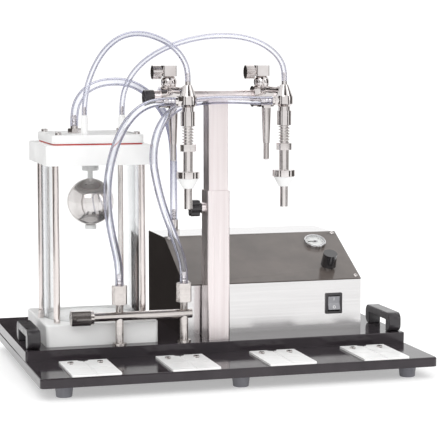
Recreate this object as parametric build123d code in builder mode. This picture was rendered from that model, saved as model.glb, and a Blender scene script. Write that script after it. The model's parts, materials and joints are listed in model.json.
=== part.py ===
"""Two-nozzle table-top liquid filler: base, receiver tank, manifold, lift column with
two spring nozzles, vacuum pump box and clear hoses.

Millimetres, +Z up, +X to the operator's right, +Y to the back.  The origin is on the
table under the middle of the base plate.
"""
from build123d import *
from math import hypot, pi, radians, tan
import os

os.makedirs("parts", exist_ok=True)

# ---------------------------------------------------------------- driving sizes
# base
BASE_WIDTH = 600.0
BASE_DEPTH = 440.0
BASE_THICK = 14.0
BASE_CORNER = 8.0
BASE_EDGE = 3.0
DECK_DEPTH = 310.0
DECK_THICK = 16.0
DECK_EDGE = 1.2
FOOT_HEIGHT = 18.0
FOOT_TOP_RADIUS = 13.5
FOOT_BOTTOM_RADIUS = 11.5
FOOT_RECESS_RADIUS = 5.0
FOOT_INSET_X = 38.0
FOOT_INSET_Y = 28.0
FOOT_EDGE = 1.5
RAIL_HEIGHT = 7.0
RAIL_WIDTH = 24.0
RAIL_LENGTH = 520.0
RAIL_INSET = 70.0

# bottle nests
NEST_COUNT = 4
NEST_PITCH = 146.0
NEST_WIDTH = 72.0
NEST_DEPTH = 107.0
NEST_THICK = 3.0
NEST_SETBACK = 2.0
NEST_CORNER = 2.0
NEST_NOTCH_RADIUS = 8.0
NEST_GROOVE_WIDTH = 2.0
NEST_GROOVE_DEPTH = 1.0
NEST_SLOT_LENGTH = 18.0
NEST_SLOT_WIDTH = 6.4
NEST_SLOT_X = 22.0
NEST_SLOT_INSET = 20.0
NEST_SCREW_RADIUS = 2.5
NEST_SCREW_HEAD_RADIUS = 4.6
NEST_SCREW_HEAD_HEIGHT = 2.0
NEST_SCREW_DEPTH = 8.0

# carry handles
HANDLE_X = 286.0
HANDLE_WIDTH = 20.0
HANDLE_LENGTH = 104.0
HANDLE_HEIGHT = 30.0
HANDLE_GRIP_THICK = 12.0
HANDLE_LEG = 17.0
HANDLE_SETBACK = 6.0
HANDLE_OUTER_FILLET = 11.0

# receiver tank
TANK_X = -179.0
TANK_Y = 20.0
TANK_BASE_SIDE = 172.0
TANK_BASE_THICK = 33.0
TANK_TOP_SIDE = 164.0
TANK_TOP_THICK = 30.0
TANK_CORNER = 5.0
TANK_EDGE = 1.5
TUBE_RADIUS = 75.0
TUBE_WALL = 5.5
TUBE_HEIGHT = 249.0
TUBE_SEAT_DEPTH = 6.0
TUBE_SEAT_GAP = 0.2
ROD_RADIUS = 5.0
ROD_OFFSET = 66.0
ROD_SEAT_DEPTH = 10.0
MOUTH_RADIUS = 58.0
GASKET_SIDE = 137.0
GASKET_THICK = 2.0
LID_SIDE = 140.0
LID_THICK = 13.0
LID_CORNER = 9.0
LID_SCREW_OFFSET = 60.0
LID_SCREW_RADIUS = 3.0
LID_SCREW_HEAD_RADIUS = 5.0
LID_SCREW_HEAD_HEIGHT = 4.0
LID_SCREW_DEPTH = 10.0

# fittings on the lid
BARB_X = -204.0
BARB_Y = 16.0
BARB_THREAD_RADIUS = 5.5
BARB_HEX_RADIUS = 10.0
BARB_HEX_HEIGHT = 7.0
BARB_NECK_HEIGHT = 4.0
RETURN_PORTS = [(-198.0, -34.0), (-139.0, -28.0)]
RETURN_BODY_RADIUS = 5.6
RETURN_BODY_HEIGHT = 25.0
RETURN_RING_RADIUS = 4.8
RETURN_RING_HEIGHT = 4.0
RETURN_THREAD_RADIUS = 4.0

# float shut-off
FLOAT_RADIUS = 36.0
FLOAT_SHELL = 1.4
FLOAT_TRAVEL = 12.0
FLOAT_GAP = 0.3
FLOAT_CENTRE_Z = 257.0
GUIDE_ROD_RADIUS = 4.0
GUIDE_BODY_RADIUS = 13.0
GUIDE_FLANGE_RADIUS = 17.0
GUIDE_FLANGE_THICK = 6.0
GUIDE_STEM_RADIUS = 6.0
GUIDE_STOP_RADIUS = 9.0
GUIDE_STOP_THICK = 6.0

# drain cock on the tank base
DRAIN_DX = -80.5
DRAIN_DY = -10.0
DRAIN_RADIUS = 5.0
DRAIN_HEIGHT = 12.0
DRAIN_TIP_RADIUS = 4.0
DRAIN_THREAD_RADIUS = 3.0
DRAIN_THREAD_DEPTH = 8.0

# manifold
MANIFOLD_Y = -78.0
MANIFOLD_Z = 92.0
MANIFOLD_LEFT = -212.0
MANIFOLD_RIGHT = -44.0
PIPE_RADIUS = 7.0
PIPE_BORE = 4.5
POST_X = [-156.0, -56.0]
POST_RADIUS = 6.4
POST_FOOT_RADIUS = 10.5
POST_FOOT_THICK = 4.0
TAIL_NECK_RADIUS = 5.5
TAIL_NECK_HEIGHT = 11.0
TAIL_NUT_RADIUS = 11.8
TAIL_NUT_HEIGHT = 29.0
TAIL_BORE = 4.0
TAIL_SPIGOT_RADIUS = 4.0
CAP_HEX_RADIUS = 12.5
CAP_LENGTH = 34.0
CAP_OVERLAP = 16.0
CAP_COLLAR_RADIUS = 10.6
CAP_COLLAR_LENGTH = 5.0
RUNNING_GAP = 0.05

# lift column
COLUMN_Y = -57.0
SLEEVE_WIDTH = 35.0
SLEEVE_DEPTH = 36.0
SLEEVE_WALL = 2.0
SLEEVE_TOP_Z = 277.0
SLEEVE_PLUG = 10.0
SLEEVE_CORNER = 2.0
COLUMN_GAP = 0.4
POST_WALL = 2.0
POST_BOTTOM_Z = 150.0
POST_TOP_Z = 414.0
CROSSBAR_Z = 419.0
CROSSBAR_RADIUS = 10.0
CROSSBAR_LENGTH = 220.0
CROSSBAR_BORE = 8.0
CROSSBAR_BORE_DEPTH = 3.0
KNOB_Z = 250.0
KNOB_BOSS_RADIUS = 8.0
KNOB_BOSS_LENGTH = 6.0
KNOB_SCREW_RADIUS = 4.0
KNOB_CORE_RADIUS = 10.0
KNOB_LOBE_RADIUS = 4.5
KNOB_LOBE_CIRCLE = 9.0
KNOB_LOBES = 6
KNOB_THICK = 14.0
KNOB_EDGE = 1.2
KNOB_HUB_RADIUS = 7.0
KNOB_HUB_LENGTH = 3.0
KNOB_TIP_GAP = 0.5

# nozzle arms, their clamp knobs and levers
NOZZLE_X = 73.0
NOZZLE_Y = -168.0
ARM_COLLAR_RADIUS = 16.0
ARM_COLLAR_WIDTH = 30.0
ARM_HUB_RADIUS = 12.0
ARM_HUB_Z = 441.0
ARM_BLOCK_SIDE = 20.0
ARM_BLOCK_Z = 450.0
ARM_BLOCK_HEIGHT = 16.0
ARM_BLOCK_CORNER = 2.0
ARM_ROD_RADIUS = 5.0
ARM_ROD_Z = 430.0
ARM_SOCKET_DEPTH = 8.0
EAR_THICK = 4.0
EAR_GAP = 12.0
EAR_RADIUS = 7.5
LEVER_PIVOT_Y = -82.0
LEVER_PIVOT_Z = 411.0
LEVER_PIN_RADIUS = 2.5
LEVER_EYE_RADIUS = 6.5
LEVER_EYE_WIDTH = 11.0
LEVER_NECK_WIDTH = 9.0
LEVER_TOP_RADIUS = 7.2
LEVER_LOW_RADIUS = 5.2
LEVER_GRIP_TOP_Z = 402.0
LEVER_GRIP_LOW_Z = 349.0
LEVER_TIP_RADIUS = 4.3
LEVER_TIP_Z = 324.0
LEVER_TIP_EDGE = 1.5
CLAMP_KNOB_Z = 456.0
CLAMP_KNOB_RADIUS = 10.5
CLAMP_KNOB_LENGTH = 13.0
CLAMP_KNOB_STANDOFF = 3.0
CLAMP_SCREW_RADIUS = 3.0
CLAMP_SCREW_DEPTH = 7.0
KNURL_COUNT = 18
KNURL_RADIUS = 0.9

# nozzles
HOSE_PORT_Z = 416.0
NOZZLE_TOP_Z = 444.0
NOZZLE_STUB_RADIUS = 4.0
NOZZLE_STUB_HEIGHT = 5.0
NOZZLE_CONE_TOP_RADIUS = 5.6
NOZZLE_BAND_RADIUS = 12.8
NOZZLE_BAND_TOP_Z = 421.0
NOZZLE_BAND_LOW_Z = 411.0
NOZZLE_NECK_RADIUS = 8.6
NOZZLE_NECK_TOP_Z = 407.0
NOZZLE_BARREL_TOP_Z = 401.0
NOZZLE_BARREL_RADIUS = 10.6
NOZZLE_BARREL_LOW_Z = 380.0
FILL_TUBE_RADIUS = 6.0
FILL_TUBE_BORE = 4.0
FILL_TUBE_TIP_Z = 260.0
PORT_RADIUS = 6.0
PORT_REACH = 19.0
PORT_NUT_RADIUS = 8.0
PORT_NUT_REACH = 15.5
BACK_BOSS_RADIUS = 7.5
BACK_BOSS_REACH = 18.0
SPRING_WIRE_RADIUS = 0.8
SPRING_BORE_GAP = 0.8
SPRING_PITCH = 4.2
SPRING_END_GAP = 0.1
SLIDE_GAP = 0.08
SLIDE_NUT_RADIUS = 12.0
SLIDE_NUT_TOP_Z = 353.6
SLIDE_NUT_LOW_Z = 343.5
SLIDE_TUBE_WALL = 1.3
SLIDE_DISC_RADIUS = 17.0
SLIDE_DISC_TOP_Z = 314.3
SLIDE_DISC_LOW_Z = 304.6
CONE_TOP_RADIUS = 15.6
CONE_LIP_WALL = 1.2
CONE_LOW_Z = 290.0
CONE_BORE_GAP = 0.4

# pump box
BOX_LEFT = -44.5
BOX_WIDTH = 291.5
BOX_FRONT_Y = -34.0
BOX_FRONT_HEIGHT = 79.0
BOX_SLOPE_BACK_Y = 90.0
BOX_HEIGHT = 141.0
BOX_BACK_Y = 198.0
SHEET = 1.5
FLOOR_THICK = 2.0
PANEL_THICK = 2.0
PANEL_LEDGE = 14.0
VENT_COUNT = 7
VENT_PITCH = 9.0
VENT_LENGTH = 70.0
VENT_WIDTH = 4.0
SCREW_RADIUS = 2.0
SCREW_HEAD_RADIUS = 3.6
SCREW_HEAD_HEIGHT = 1.6
SCREW_LENGTH = 6.0
CONTROLS_X = 201.0

# gauge, regulator and switch
GAUGE_V = 34.0
GAUGE_BEZEL_RADIUS = 18.0
GAUGE_BEZEL_HEIGHT = 6.5
GAUGE_CASE_RADIUS = 16.0
GAUGE_CASE_DEPTH = 24.0
GAUGE_RECESS_RADIUS = 15.6
GAUGE_RECESS_DEPTH = 4.0
GAUGE_EDGE = 1.5
GAUGE_STEM_RADIUS = 4.5
GAUGE_STEM_LENGTH = 10.0
NEEDLE_PIN_RADIUS = 0.9
NEEDLE_HUB_RADIUS = 2.2
NEEDLE_LENGTH = 12.5
NEEDLE_TAIL = 4.5
NEEDLE_WIDTH = 1.2
NEEDLE_THICK = 0.6
NEEDLE_LIFT = 1.2
REGULATOR_V = -37.0
REGULATOR_BODY_RADIUS = 13.0
REGULATOR_BODY_DEPTH = 30.0
REGULATOR_BUSH_RADIUS = 7.0
REGULATOR_BUSH_HEIGHT = 5.0
REGULATOR_SPINDLE_RADIUS = 3.0
REGULATOR_SPINDLE_DEPTH = 12.0
REGULATOR_KNOB_RADIUS = 12.4
REGULATOR_KNOB_TOP_RADIUS = 11.2
REGULATOR_KNOB_HEIGHT = 22.0
REGULATOR_KNOB_GAP = 0.4
REGULATOR_GRIP_HEIGHT = 18.0
SWITCH_Z = 90.0
SWITCH_WIDTH = 28.0
SWITCH_HEIGHT = 33.0
SWITCH_BEZEL = 2.0
SWITCH_CORNER = 1.5
SWITCH_BODY_WIDTH = 24.0
SWITCH_BODY_HEIGHT = 28.5
SWITCH_BODY_DEPTH = 18.0
ROCKER_WIDTH = 19.0
ROCKER_HEIGHT = 23.0
ROCKER_GAP = 0.6
ROCKER_TOP_GAP = 0.9
ROCKER_TILT = 7.0
ROCKER_EDGE = 1.0
ROCKER_FRONT = 5.5
ROCKER_HOLLOW = 3.0
ROCKER_HEEL = 2.0
ROCKER_TAIL = 6.0
ROCKER_TAIL_HALF = 5.0
ROCKER_CAVITY_DEPTH = 13.0
ROCKER_PIN_RADIUS = 1.5

# vacuum pump
PUMP_Y = 108.0
PUMP_Z = 106.0
PUMP_MOTOR_RADIUS = 44.0
PUMP_MOTOR_LEFT = 30.0
PUMP_MOTOR_RIGHT = 128.0
PUMP_CHAMBER_RADIUS = 36.0
PUMP_CHAMBER_RIGHT = 170.0
PUMP_WALL = 6.0
PUMP_CORE_RADIUS = 30.0
PUMP_CORE_GAP = 2.0
PUMP_VANE_RADIUS = 24.0
PUMP_SHAFT_RADIUS = 6.0
PUMP_FAN_RADIUS = 38.0
PUMP_FAN_THICK = 12.0
PUMP_FAN_BLADES = 7
PUMP_BLADE_THICK = 3.0
PUMP_FOOT_WIDTH = 60.0
PUMP_FOOT_LENGTH = 80.0
PUMP_FOOT_THICK = 6.0
PUMP_PORT_RADIUS = 7.0
PUMP_PORT_HEIGHT = 12.0

# power inlet and hose fitting on the box
INLET_X = 200.0
INLET_Z = 92.0
INLET_WIDTH = 48.0
INLET_HEIGHT = 30.0
INLET_FLANGE = 3.0
INLET_CORNER = 3.0
INLET_WALL_X = 2.0
INLET_WALL_Z = 3.0
INLET_BODY_WIDTH = 28.0
INLET_BODY_HEIGHT = 22.0
INLET_BODY_DEPTH = 22.0
INLET_RECESS_DEPTH = 16.0
INLET_PIN_RADIUS = 1.6
INLET_PIN_PITCH = 7.0
FITTING_X = -13.0
FITTING_Y = 150.0
FITTING_HEIGHT = 22.0
FITTING_RADIUS = 7.5
FITTING_THREAD_RADIUS = 6.0
FITTING_NUT_RADIUS = 10.0
FITTING_NUT_THICK = 6.0
FITTING_BORE = 3.5

# hoses
THICK_HOSE_RADIUS = 6.0
THIN_HOSE_RADIUS = 4.0
RUN_SHARE = 0.45

# ---------------------------------------------------------------- derived places
PLATE_BOTTOM = FOOT_HEIGHT
PLATE_TOP = FOOT_HEIGHT + BASE_THICK
DECK_TOP = PLATE_TOP + DECK_THICK
BASE_FRONT = -BASE_DEPTH / 2
BASE_BACK = BASE_DEPTH / 2
DECK_FRONT = BASE_BACK - DECK_DEPTH
NEST_Y = BASE_FRONT + NEST_SETBACK + NEST_DEPTH / 2
NEST_BACK = BASE_FRONT + NEST_SETBACK + NEST_DEPTH
NEST_TOP = PLATE_TOP + NEST_THICK
NEST_FIRST_X = -NEST_PITCH * (NEST_COUNT - 1) / 2

TANK_BASE_TOP = DECK_TOP + TANK_BASE_THICK
TUBE_BOTTOM = TANK_BASE_TOP - TUBE_SEAT_DEPTH
TUBE_TOP = TUBE_BOTTOM + TUBE_HEIGHT
TOP_PLATE_BOTTOM = TUBE_TOP - TUBE_SEAT_DEPTH
TOP_PLATE_TOP = TOP_PLATE_BOTTOM + TANK_TOP_THICK
LID_BOTTOM = TOP_PLATE_TOP + GASKET_THICK
LID_TOP = LID_BOTTOM + LID_THICK

INNER_WIDTH = SLEEVE_WIDTH - 2 * SLEEVE_WALL
INNER_DEPTH = SLEEVE_DEPTH - 2 * SLEEVE_WALL
POST_WIDTH = INNER_WIDTH - 2 * COLUMN_GAP
POST_DEPTH = INNER_DEPTH - 2 * COLUMN_GAP

BOX_CENTRE_X = BOX_LEFT + BOX_WIDTH / 2
BOX_TOP = DECK_TOP + BOX_HEIGHT
SLOPE_FOOT_Z = DECK_TOP + BOX_FRONT_HEIGHT
SLOPE_RUN = BOX_SLOPE_BACK_Y - BOX_FRONT_Y
SLOPE_RISE = BOX_TOP - SLOPE_FOOT_Z
SLOPE_LENGTH = hypot(SLOPE_RUN, SLOPE_RISE)
SLOPE_MID = (
    BOX_CENTRE_X,
    (BOX_FRONT_Y + BOX_SLOPE_BACK_Y) / 2,
    (SLOPE_FOOT_Z + BOX_TOP) / 2,
)
SLOPE_NORMAL = (0, -SLOPE_RISE / SLOPE_LENGTH, SLOPE_RUN / SLOPE_LENGTH)
SLOPE = Plane(origin=SLOPE_MID, x_dir=(1, 0, 0), z_dir=SLOPE_NORMAL)
CONTROLS_U = CONTROLS_X - BOX_CENTRE_X

SIDES = {"left": -1, "right": 1}


def finish(piece, name):
    """Label a finished piece and write it to its own file."""
    piece.part.label = name
    export_step(piece.part, f"parts/{name}.step")


# ---------------------------------------------------------------- base
foot_x = BASE_WIDTH / 2 - FOOT_INSET_X
foot_y = BASE_DEPTH / 2 - FOOT_INSET_Y

with BuildPart() as base_plate:
    with BuildSketch(Plane.XY.offset(PLATE_BOTTOM)):
        RectangleRounded(BASE_WIDTH, BASE_DEPTH, BASE_CORNER)
    extrude(amount=BASE_THICK)
    fillet(base_plate.edges().group_by(Axis.Z)[-1], BASE_EDGE)
    rail_y = BASE_DEPTH / 2 - RAIL_INSET
    with BuildSketch(Plane.XY.offset(PLATE_BOTTOM)):
        with Locations((0, -rail_y), (0, rail_y)):
            Rectangle(RAIL_LENGTH, RAIL_WIDTH)
    extrude(amount=-RAIL_HEIGHT)
    with BuildSketch(Plane.XY.offset(PLATE_TOP)):
        with GridLocations(NEST_PITCH, 0, NEST_COUNT, 1):
            with Locations(
                (-NEST_SLOT_X, NEST_BACK - NEST_SLOT_INSET),
                (NEST_SLOT_X, NEST_BACK - NEST_SLOT_INSET),
            ):
                Circle(NEST_SCREW_RADIUS)
    extrude(amount=-NEST_SCREW_DEPTH, mode=Mode.SUBTRACT)
finish(base_plate, "base_plate")

with BuildPart() as deck_plate:
    with BuildSketch(Plane.XY.offset(PLATE_TOP)):
        with Locations((0, (DECK_FRONT + BASE_BACK) / 2)):
            RectangleRounded(BASE_WIDTH, DECK_DEPTH, BASE_CORNER / 2)
    extrude(amount=DECK_THICK)
    chamfer(deck_plate.edges().group_by(Axis.Z)[-1], DECK_EDGE)
finish(deck_plate, "deck_plate")

with BuildPart() as rubber_feet:
    with GridLocations(foot_x, 2 * foot_y, 3, 2):
        Cone(
            FOOT_BOTTOM_RADIUS,
            FOOT_TOP_RADIUS,
            FOOT_HEIGHT,
            align=(Align.CENTER, Align.CENTER, Align.MIN),
        )
    with BuildSketch(Plane.XY):
        with GridLocations(foot_x, 2 * foot_y, 3, 2):
            Circle(FOOT_RECESS_RADIUS)
    extrude(amount=FOOT_HEIGHT / 2, mode=Mode.SUBTRACT)
    fillet(rubber_feet.edges().group_by(Axis.Z)[0].sort_by(SortBy.LENGTH)[-6:], FOOT_EDGE)
finish(rubber_feet, "rubber_feet")

# ---------------------------------------------------------------- bottle nests
for index in range(NEST_COUNT):
    nest_x = NEST_FIRST_X + index * NEST_PITCH
    with BuildPart() as nest:
        with BuildSketch(Plane.XY.offset(PLATE_TOP)):
            with Locations((nest_x, NEST_Y)):
                RectangleRounded(NEST_WIDTH, NEST_DEPTH, NEST_CORNER)
            with Locations((nest_x, NEST_BACK)):
                Circle(NEST_NOTCH_RADIUS, mode=Mode.SUBTRACT)
            with Locations(
                (nest_x - NEST_SLOT_X, NEST_BACK - NEST_SLOT_INSET),
                (nest_x + NEST_SLOT_X, NEST_BACK - NEST_SLOT_INSET),
            ):
                SlotOverall(NEST_SLOT_LENGTH, NEST_SLOT_WIDTH, rotation=90, mode=Mode.SUBTRACT)
        extrude(amount=NEST_THICK)
        with BuildSketch(Plane.XY.offset(NEST_TOP)):
            with Locations((nest_x, NOZZLE_Y)):
                Rectangle(NEST_GROOVE_WIDTH, 2 * NEST_DEPTH)
                Rectangle(2 * NEST_WIDTH, NEST_GROOVE_WIDTH)
        extrude(amount=-NEST_GROOVE_DEPTH, mode=Mode.SUBTRACT)
    finish(nest, f"bottle_nest_{index + 1}")

with BuildPart() as nest_screws:
    for index in range(NEST_COUNT):
        nest_x = NEST_FIRST_X + index * NEST_PITCH
        for slot_x in (-NEST_SLOT_X, NEST_SLOT_X):
            place = (nest_x + slot_x, NEST_BACK - NEST_SLOT_INSET)
            with BuildSketch(Plane.XY.offset(PLATE_TOP - NEST_SCREW_DEPTH)):
                with Locations(place):
                    Circle(NEST_SCREW_RADIUS)
            extrude(amount=NEST_SCREW_DEPTH + NEST_THICK)
            with BuildSketch(Plane.XY.offset(NEST_TOP)):
                with Locations(place):
                    Circle(NEST_SCREW_HEAD_RADIUS)
            extrude(amount=NEST_SCREW_HEAD_HEIGHT)
finish(nest_screws, "nest_screws")

# ---------------------------------------------------------------- carry handles
handle_front = DECK_FRONT + HANDLE_SETBACK
handle_mid = handle_front + HANDLE_LENGTH / 2

with BuildPart() as carry_handles:
    for side in (-1, 1):
        with BuildSketch(Plane.YZ.offset(side * HANDLE_X - HANDLE_WIDTH / 2)):
            with Locations((handle_mid, DECK_TOP + HANDLE_HEIGHT / 2)):
                outline = Rectangle(HANDLE_LENGTH, HANDLE_HEIGHT)
            fillet(outline.vertices().group_by(Axis.Z)[-1], HANDLE_OUTER_FILLET)
            gap_height = HANDLE_HEIGHT - HANDLE_GRIP_THICK
            with Locations((handle_mid, DECK_TOP + gap_height / 2)):
                Rectangle(HANDLE_LENGTH - 2 * HANDLE_LEG, gap_height, mode=Mode.SUBTRACT)
        extrude(amount=HANDLE_WIDTH)
finish(carry_handles, "carry_handles")

# ---------------------------------------------------------------- receiver tank
ROD_PLACES = [
    (TANK_X + dx, TANK_Y + dy)
    for dx in (-ROD_OFFSET, ROD_OFFSET)
    for dy in (-ROD_OFFSET, ROD_OFFSET)
]
DRAIN_PLACE = (TANK_X + DRAIN_DX, TANK_Y + DRAIN_DY)
TANK_PLACE = (TANK_X, TANK_Y)

with BuildPart() as tank_base:
    with BuildSketch(Plane.XY.offset(DECK_TOP)):
        with Locations(TANK_PLACE):
            RectangleRounded(TANK_BASE_SIDE, TANK_BASE_SIDE, TANK_CORNER)
    extrude(amount=TANK_BASE_THICK)
    chamfer(tank_base.edges().group_by(Axis.Z)[-1], TANK_EDGE)
    with BuildSketch(Plane.XY.offset(TANK_BASE_TOP)):
        with Locations(TANK_PLACE):
            Circle(TUBE_RADIUS + TUBE_SEAT_GAP)
            Circle(TUBE_RADIUS - TUBE_WALL - TUBE_SEAT_GAP, mode=Mode.SUBTRACT)
    extrude(amount=-TUBE_SEAT_DEPTH, mode=Mode.SUBTRACT)
    with BuildSketch(Plane.XY.offset(TANK_BASE_TOP)):
        with Locations(*ROD_PLACES):
            Circle(ROD_RADIUS)
    extrude(amount=-ROD_SEAT_DEPTH, mode=Mode.SUBTRACT)
    with BuildSketch(Plane.XY.offset(TANK_BASE_TOP)):
        with Locations(DRAIN_PLACE):
            Circle(DRAIN_THREAD_RADIUS)
    extrude(amount=-DRAIN_THREAD_DEPTH, mode=Mode.SUBTRACT)
finish(tank_base, "tank_base")

with BuildPart() as tank_tube:
    with BuildSketch(Plane.XY.offset(TUBE_BOTTOM)):
        with Locations(TANK_PLACE):
            Circle(TUBE_RADIUS)
            Circle(TUBE_RADIUS - TUBE_WALL, mode=Mode.SUBTRACT)
    extrude(amount=TUBE_HEIGHT)
finish(tank_tube, "tank_tube")

LID_SCREW_PLACES = [
    (TANK_X + dx, TANK_Y + dy)
    for dx in (-LID_SCREW_OFFSET, LID_SCREW_OFFSET)
    for dy in (-LID_SCREW_OFFSET, LID_SCREW_OFFSET)
]

with BuildPart() as tank_top_plate:
    with BuildSketch(Plane.XY.offset(TOP_PLATE_BOTTOM)):
        with Locations(TANK_PLACE):
            RectangleRounded(TANK_TOP_SIDE, TANK_TOP_SIDE, TANK_CORNER)
    extrude(amount=TANK_TOP_THICK)
    chamfer(tank_top_plate.edges().group_by(Axis.Z)[-1], TANK_EDGE)
    with BuildSketch(Plane.XY.offset(TOP_PLATE_BOTTOM)):
        with Locations(TANK_PLACE):
            Circle(MOUTH_RADIUS)
    extrude(amount=TANK_TOP_THICK, mode=Mode.SUBTRACT)
    with BuildSketch(Plane.XY.offset(TOP_PLATE_BOTTOM)):
        with Locations(TANK_PLACE):
            Circle(TUBE_RADIUS + TUBE_SEAT_GAP)
            Circle(TUBE_RADIUS - TUBE_WALL - TUBE_SEAT_GAP, mode=Mode.SUBTRACT)
    extrude(amount=TUBE_SEAT_DEPTH, mode=Mode.SUBTRACT)
    with BuildSketch(Plane.XY.offset(TOP_PLATE_BOTTOM)):
        with Locations(*ROD_PLACES):
            Circle(ROD_RADIUS)
    extrude(amount=ROD_SEAT_DEPTH, mode=Mode.SUBTRACT)
    with BuildSketch(Plane.XY.offset(TOP_PLATE_TOP)):
        with Locations(*LID_SCREW_PLACES):
            Circle(LID_SCREW_RADIUS)
    extrude(amount=-LID_SCREW_DEPTH, mode=Mode.SUBTRACT)
finish(tank_top_plate, "tank_top_plate")

with BuildPart() as tank_tie_rods:
    rod_bottom = TANK_BASE_TOP - ROD_SEAT_DEPTH
    rod_top = TOP_PLATE_BOTTOM + ROD_SEAT_DEPTH
    with BuildSketch(Plane.XY.offset(rod_bottom)):
        with Locations(*ROD_PLACES):
            Circle(ROD_RADIUS)
    extrude(amount=rod_top - rod_bottom)
finish(tank_tie_rods, "tank_tie_rods")

with BuildPart() as lid_gasket:
    with BuildSketch(Plane.XY.offset(TOP_PLATE_TOP)):
        with Locations(TANK_PLACE):
            RectangleRounded(GASKET_SIDE, GASKET_SIDE, LID_CORNER)
            Circle(MOUTH_RADIUS, mode=Mode.SUBTRACT)
        with Locations(*LID_SCREW_PLACES):
            Circle(LID_SCREW_RADIUS, mode=Mode.SUBTRACT)
    extrude(amount=GASKET_THICK)
finish(lid_gasket, "lid_gasket")

with BuildPart() as tank_lid:
    with BuildSketch(Plane.XY.offset(LID_BOTTOM)):
        with Locations(TANK_PLACE):
            RectangleRounded(LID_SIDE, LID_SIDE, LID_CORNER)
        with Locations(*LID_SCREW_PLACES):
            Circle(LID_SCREW_RADIUS, mode=Mode.SUBTRACT)
        with Locations((BARB_X, BARB_Y)):
            Circle(BARB_THREAD_RADIUS, mode=Mode.SUBTRACT)
        with Locations(*RETURN_PORTS):
            Circle(RETURN_THREAD_RADIUS, mode=Mode.SUBTRACT)
        with Locations(TANK_PLACE):
            Circle(GUIDE_STEM_RADIUS, mode=Mode.SUBTRACT)
    extrude(amount=LID_THICK)
finish(tank_lid, "tank_lid")

with BuildPart() as lid_screws:
    with BuildSketch(Plane.XY.offset(LID_TOP)):
        with Locations(*LID_SCREW_PLACES):
            Circle(LID_SCREW_HEAD_RADIUS)
    extrude(amount=LID_SCREW_HEAD_HEIGHT)
    with BuildSketch(Plane.XY.offset(LID_TOP)):
        with Locations(*LID_SCREW_PLACES):
            Circle(LID_SCREW_RADIUS)
    extrude(amount=-(LID_THICK + GASKET_THICK + LID_SCREW_DEPTH))
finish(lid_screws, "lid_screws")

# ---------------------------------------------------------------- lid fittings
BARB_HEX_TOP = LID_TOP + BARB_HEX_HEIGHT
BARB_TOP = BARB_HEX_TOP + BARB_NECK_HEIGHT

with BuildPart() as vacuum_barb:
    with BuildSketch(Plane.XY.offset(LID_BOTTOM)):
        with Locations((BARB_X, BARB_Y)):
            Circle(BARB_THREAD_RADIUS)
    extrude(amount=LID_THICK)
    with BuildSketch(Plane.XY.offset(LID_TOP)):
        with Locations((BARB_X, BARB_Y)):
            RegularPolygon(BARB_HEX_RADIUS, 6)
    extrude(amount=BARB_HEX_HEIGHT)
    with BuildSketch(Plane.XY.offset(BARB_HEX_TOP)):
        with Locations((BARB_X, BARB_Y)):
            Circle(THICK_HOSE_RADIUS)
    extrude(amount=BARB_NECK_HEIGHT)
    with BuildSketch(Plane.XY.offset(LID_BOTTOM)):
        with Locations((BARB_X, BARB_Y)):
            Circle(TAIL_BORE)
    extrude(amount=BARB_TOP - LID_BOTTOM, mode=Mode.SUBTRACT)
finish(vacuum_barb, "vacuum_barb")

RETURN_BODY_TOP = LID_TOP + RETURN_BODY_HEIGHT

with BuildPart() as return_connectors:
    with BuildSketch(Plane.XY.offset(LID_BOTTOM)):
        with Locations(*RETURN_PORTS):
            Circle(RETURN_THREAD_RADIUS)
    extrude(amount=LID_THICK)
    with BuildSketch(Plane.XY.offset(LID_TOP)):
        with Locations(*RETURN_PORTS):
            Circle(RETURN_BODY_RADIUS)
    extrude(amount=RETURN_BODY_HEIGHT)
    with BuildSketch(Plane.XY.offset(RETURN_BODY_TOP)):
        with Locations(*RETURN_PORTS):
            Circle(RETURN_RING_RADIUS)
    extrude(amount=RETURN_RING_HEIGHT)
finish(return_connectors, "return_connectors")

# ---------------------------------------------------------------- float shut-off
SEAT_Z = FLOAT_CENTRE_Z + FLOAT_RADIUS + FLOAT_TRAVEL + FLOAT_GAP
STOP_Z = FLOAT_CENTRE_Z - FLOAT_RADIUS - FLOAT_GAP

with BuildPart() as float_guide:
    with BuildSketch(Plane.XY.offset(STOP_Z - GUIDE_STOP_THICK)):
        with Locations(TANK_PLACE):
            Circle(GUIDE_STOP_RADIUS)
    extrude(amount=GUIDE_STOP_THICK)
    with BuildSketch(Plane.XY.offset(STOP_Z)):
        with Locations(TANK_PLACE):
            Circle(GUIDE_ROD_RADIUS)
    extrude(amount=SEAT_Z - STOP_Z)
    with BuildSketch(Plane.XY.offset(SEAT_Z)):
        with Locations(TANK_PLACE):
            Circle(GUIDE_BODY_RADIUS)
    extrude(amount=LID_BOTTOM - GUIDE_FLANGE_THICK - SEAT_Z)
    with BuildSketch(Plane.XY.offset(LID_BOTTOM - GUIDE_FLANGE_THICK)):
        with Locations(TANK_PLACE):
            Circle(GUIDE_FLANGE_RADIUS)
    extrude(amount=GUIDE_FLANGE_THICK)
    with BuildSketch(Plane.XY.offset(LID_BOTTOM)):
        with Locations(TANK_PLACE):
            Circle(GUIDE_STEM_RADIUS)
    extrude(amount=LID_THICK)
finish(float_guide, "float_guide")

FLOAT_BORE = GUIDE_ROD_RADIUS + FLOAT_GAP

with BuildPart() as float_ball:
    with Locations((TANK_X, TANK_Y, FLOAT_CENTRE_Z)):
        Sphere(FLOAT_RADIUS)
        Sphere(FLOAT_RADIUS - FLOAT_SHELL, mode=Mode.SUBTRACT)
        Cylinder(FLOAT_BORE + FLOAT_SHELL, 2 * FLOAT_RADIUS)
        Cylinder(FLOAT_BORE, 2 * FLOAT_RADIUS, mode=Mode.SUBTRACT)
finish(float_ball, "float_ball")

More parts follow.
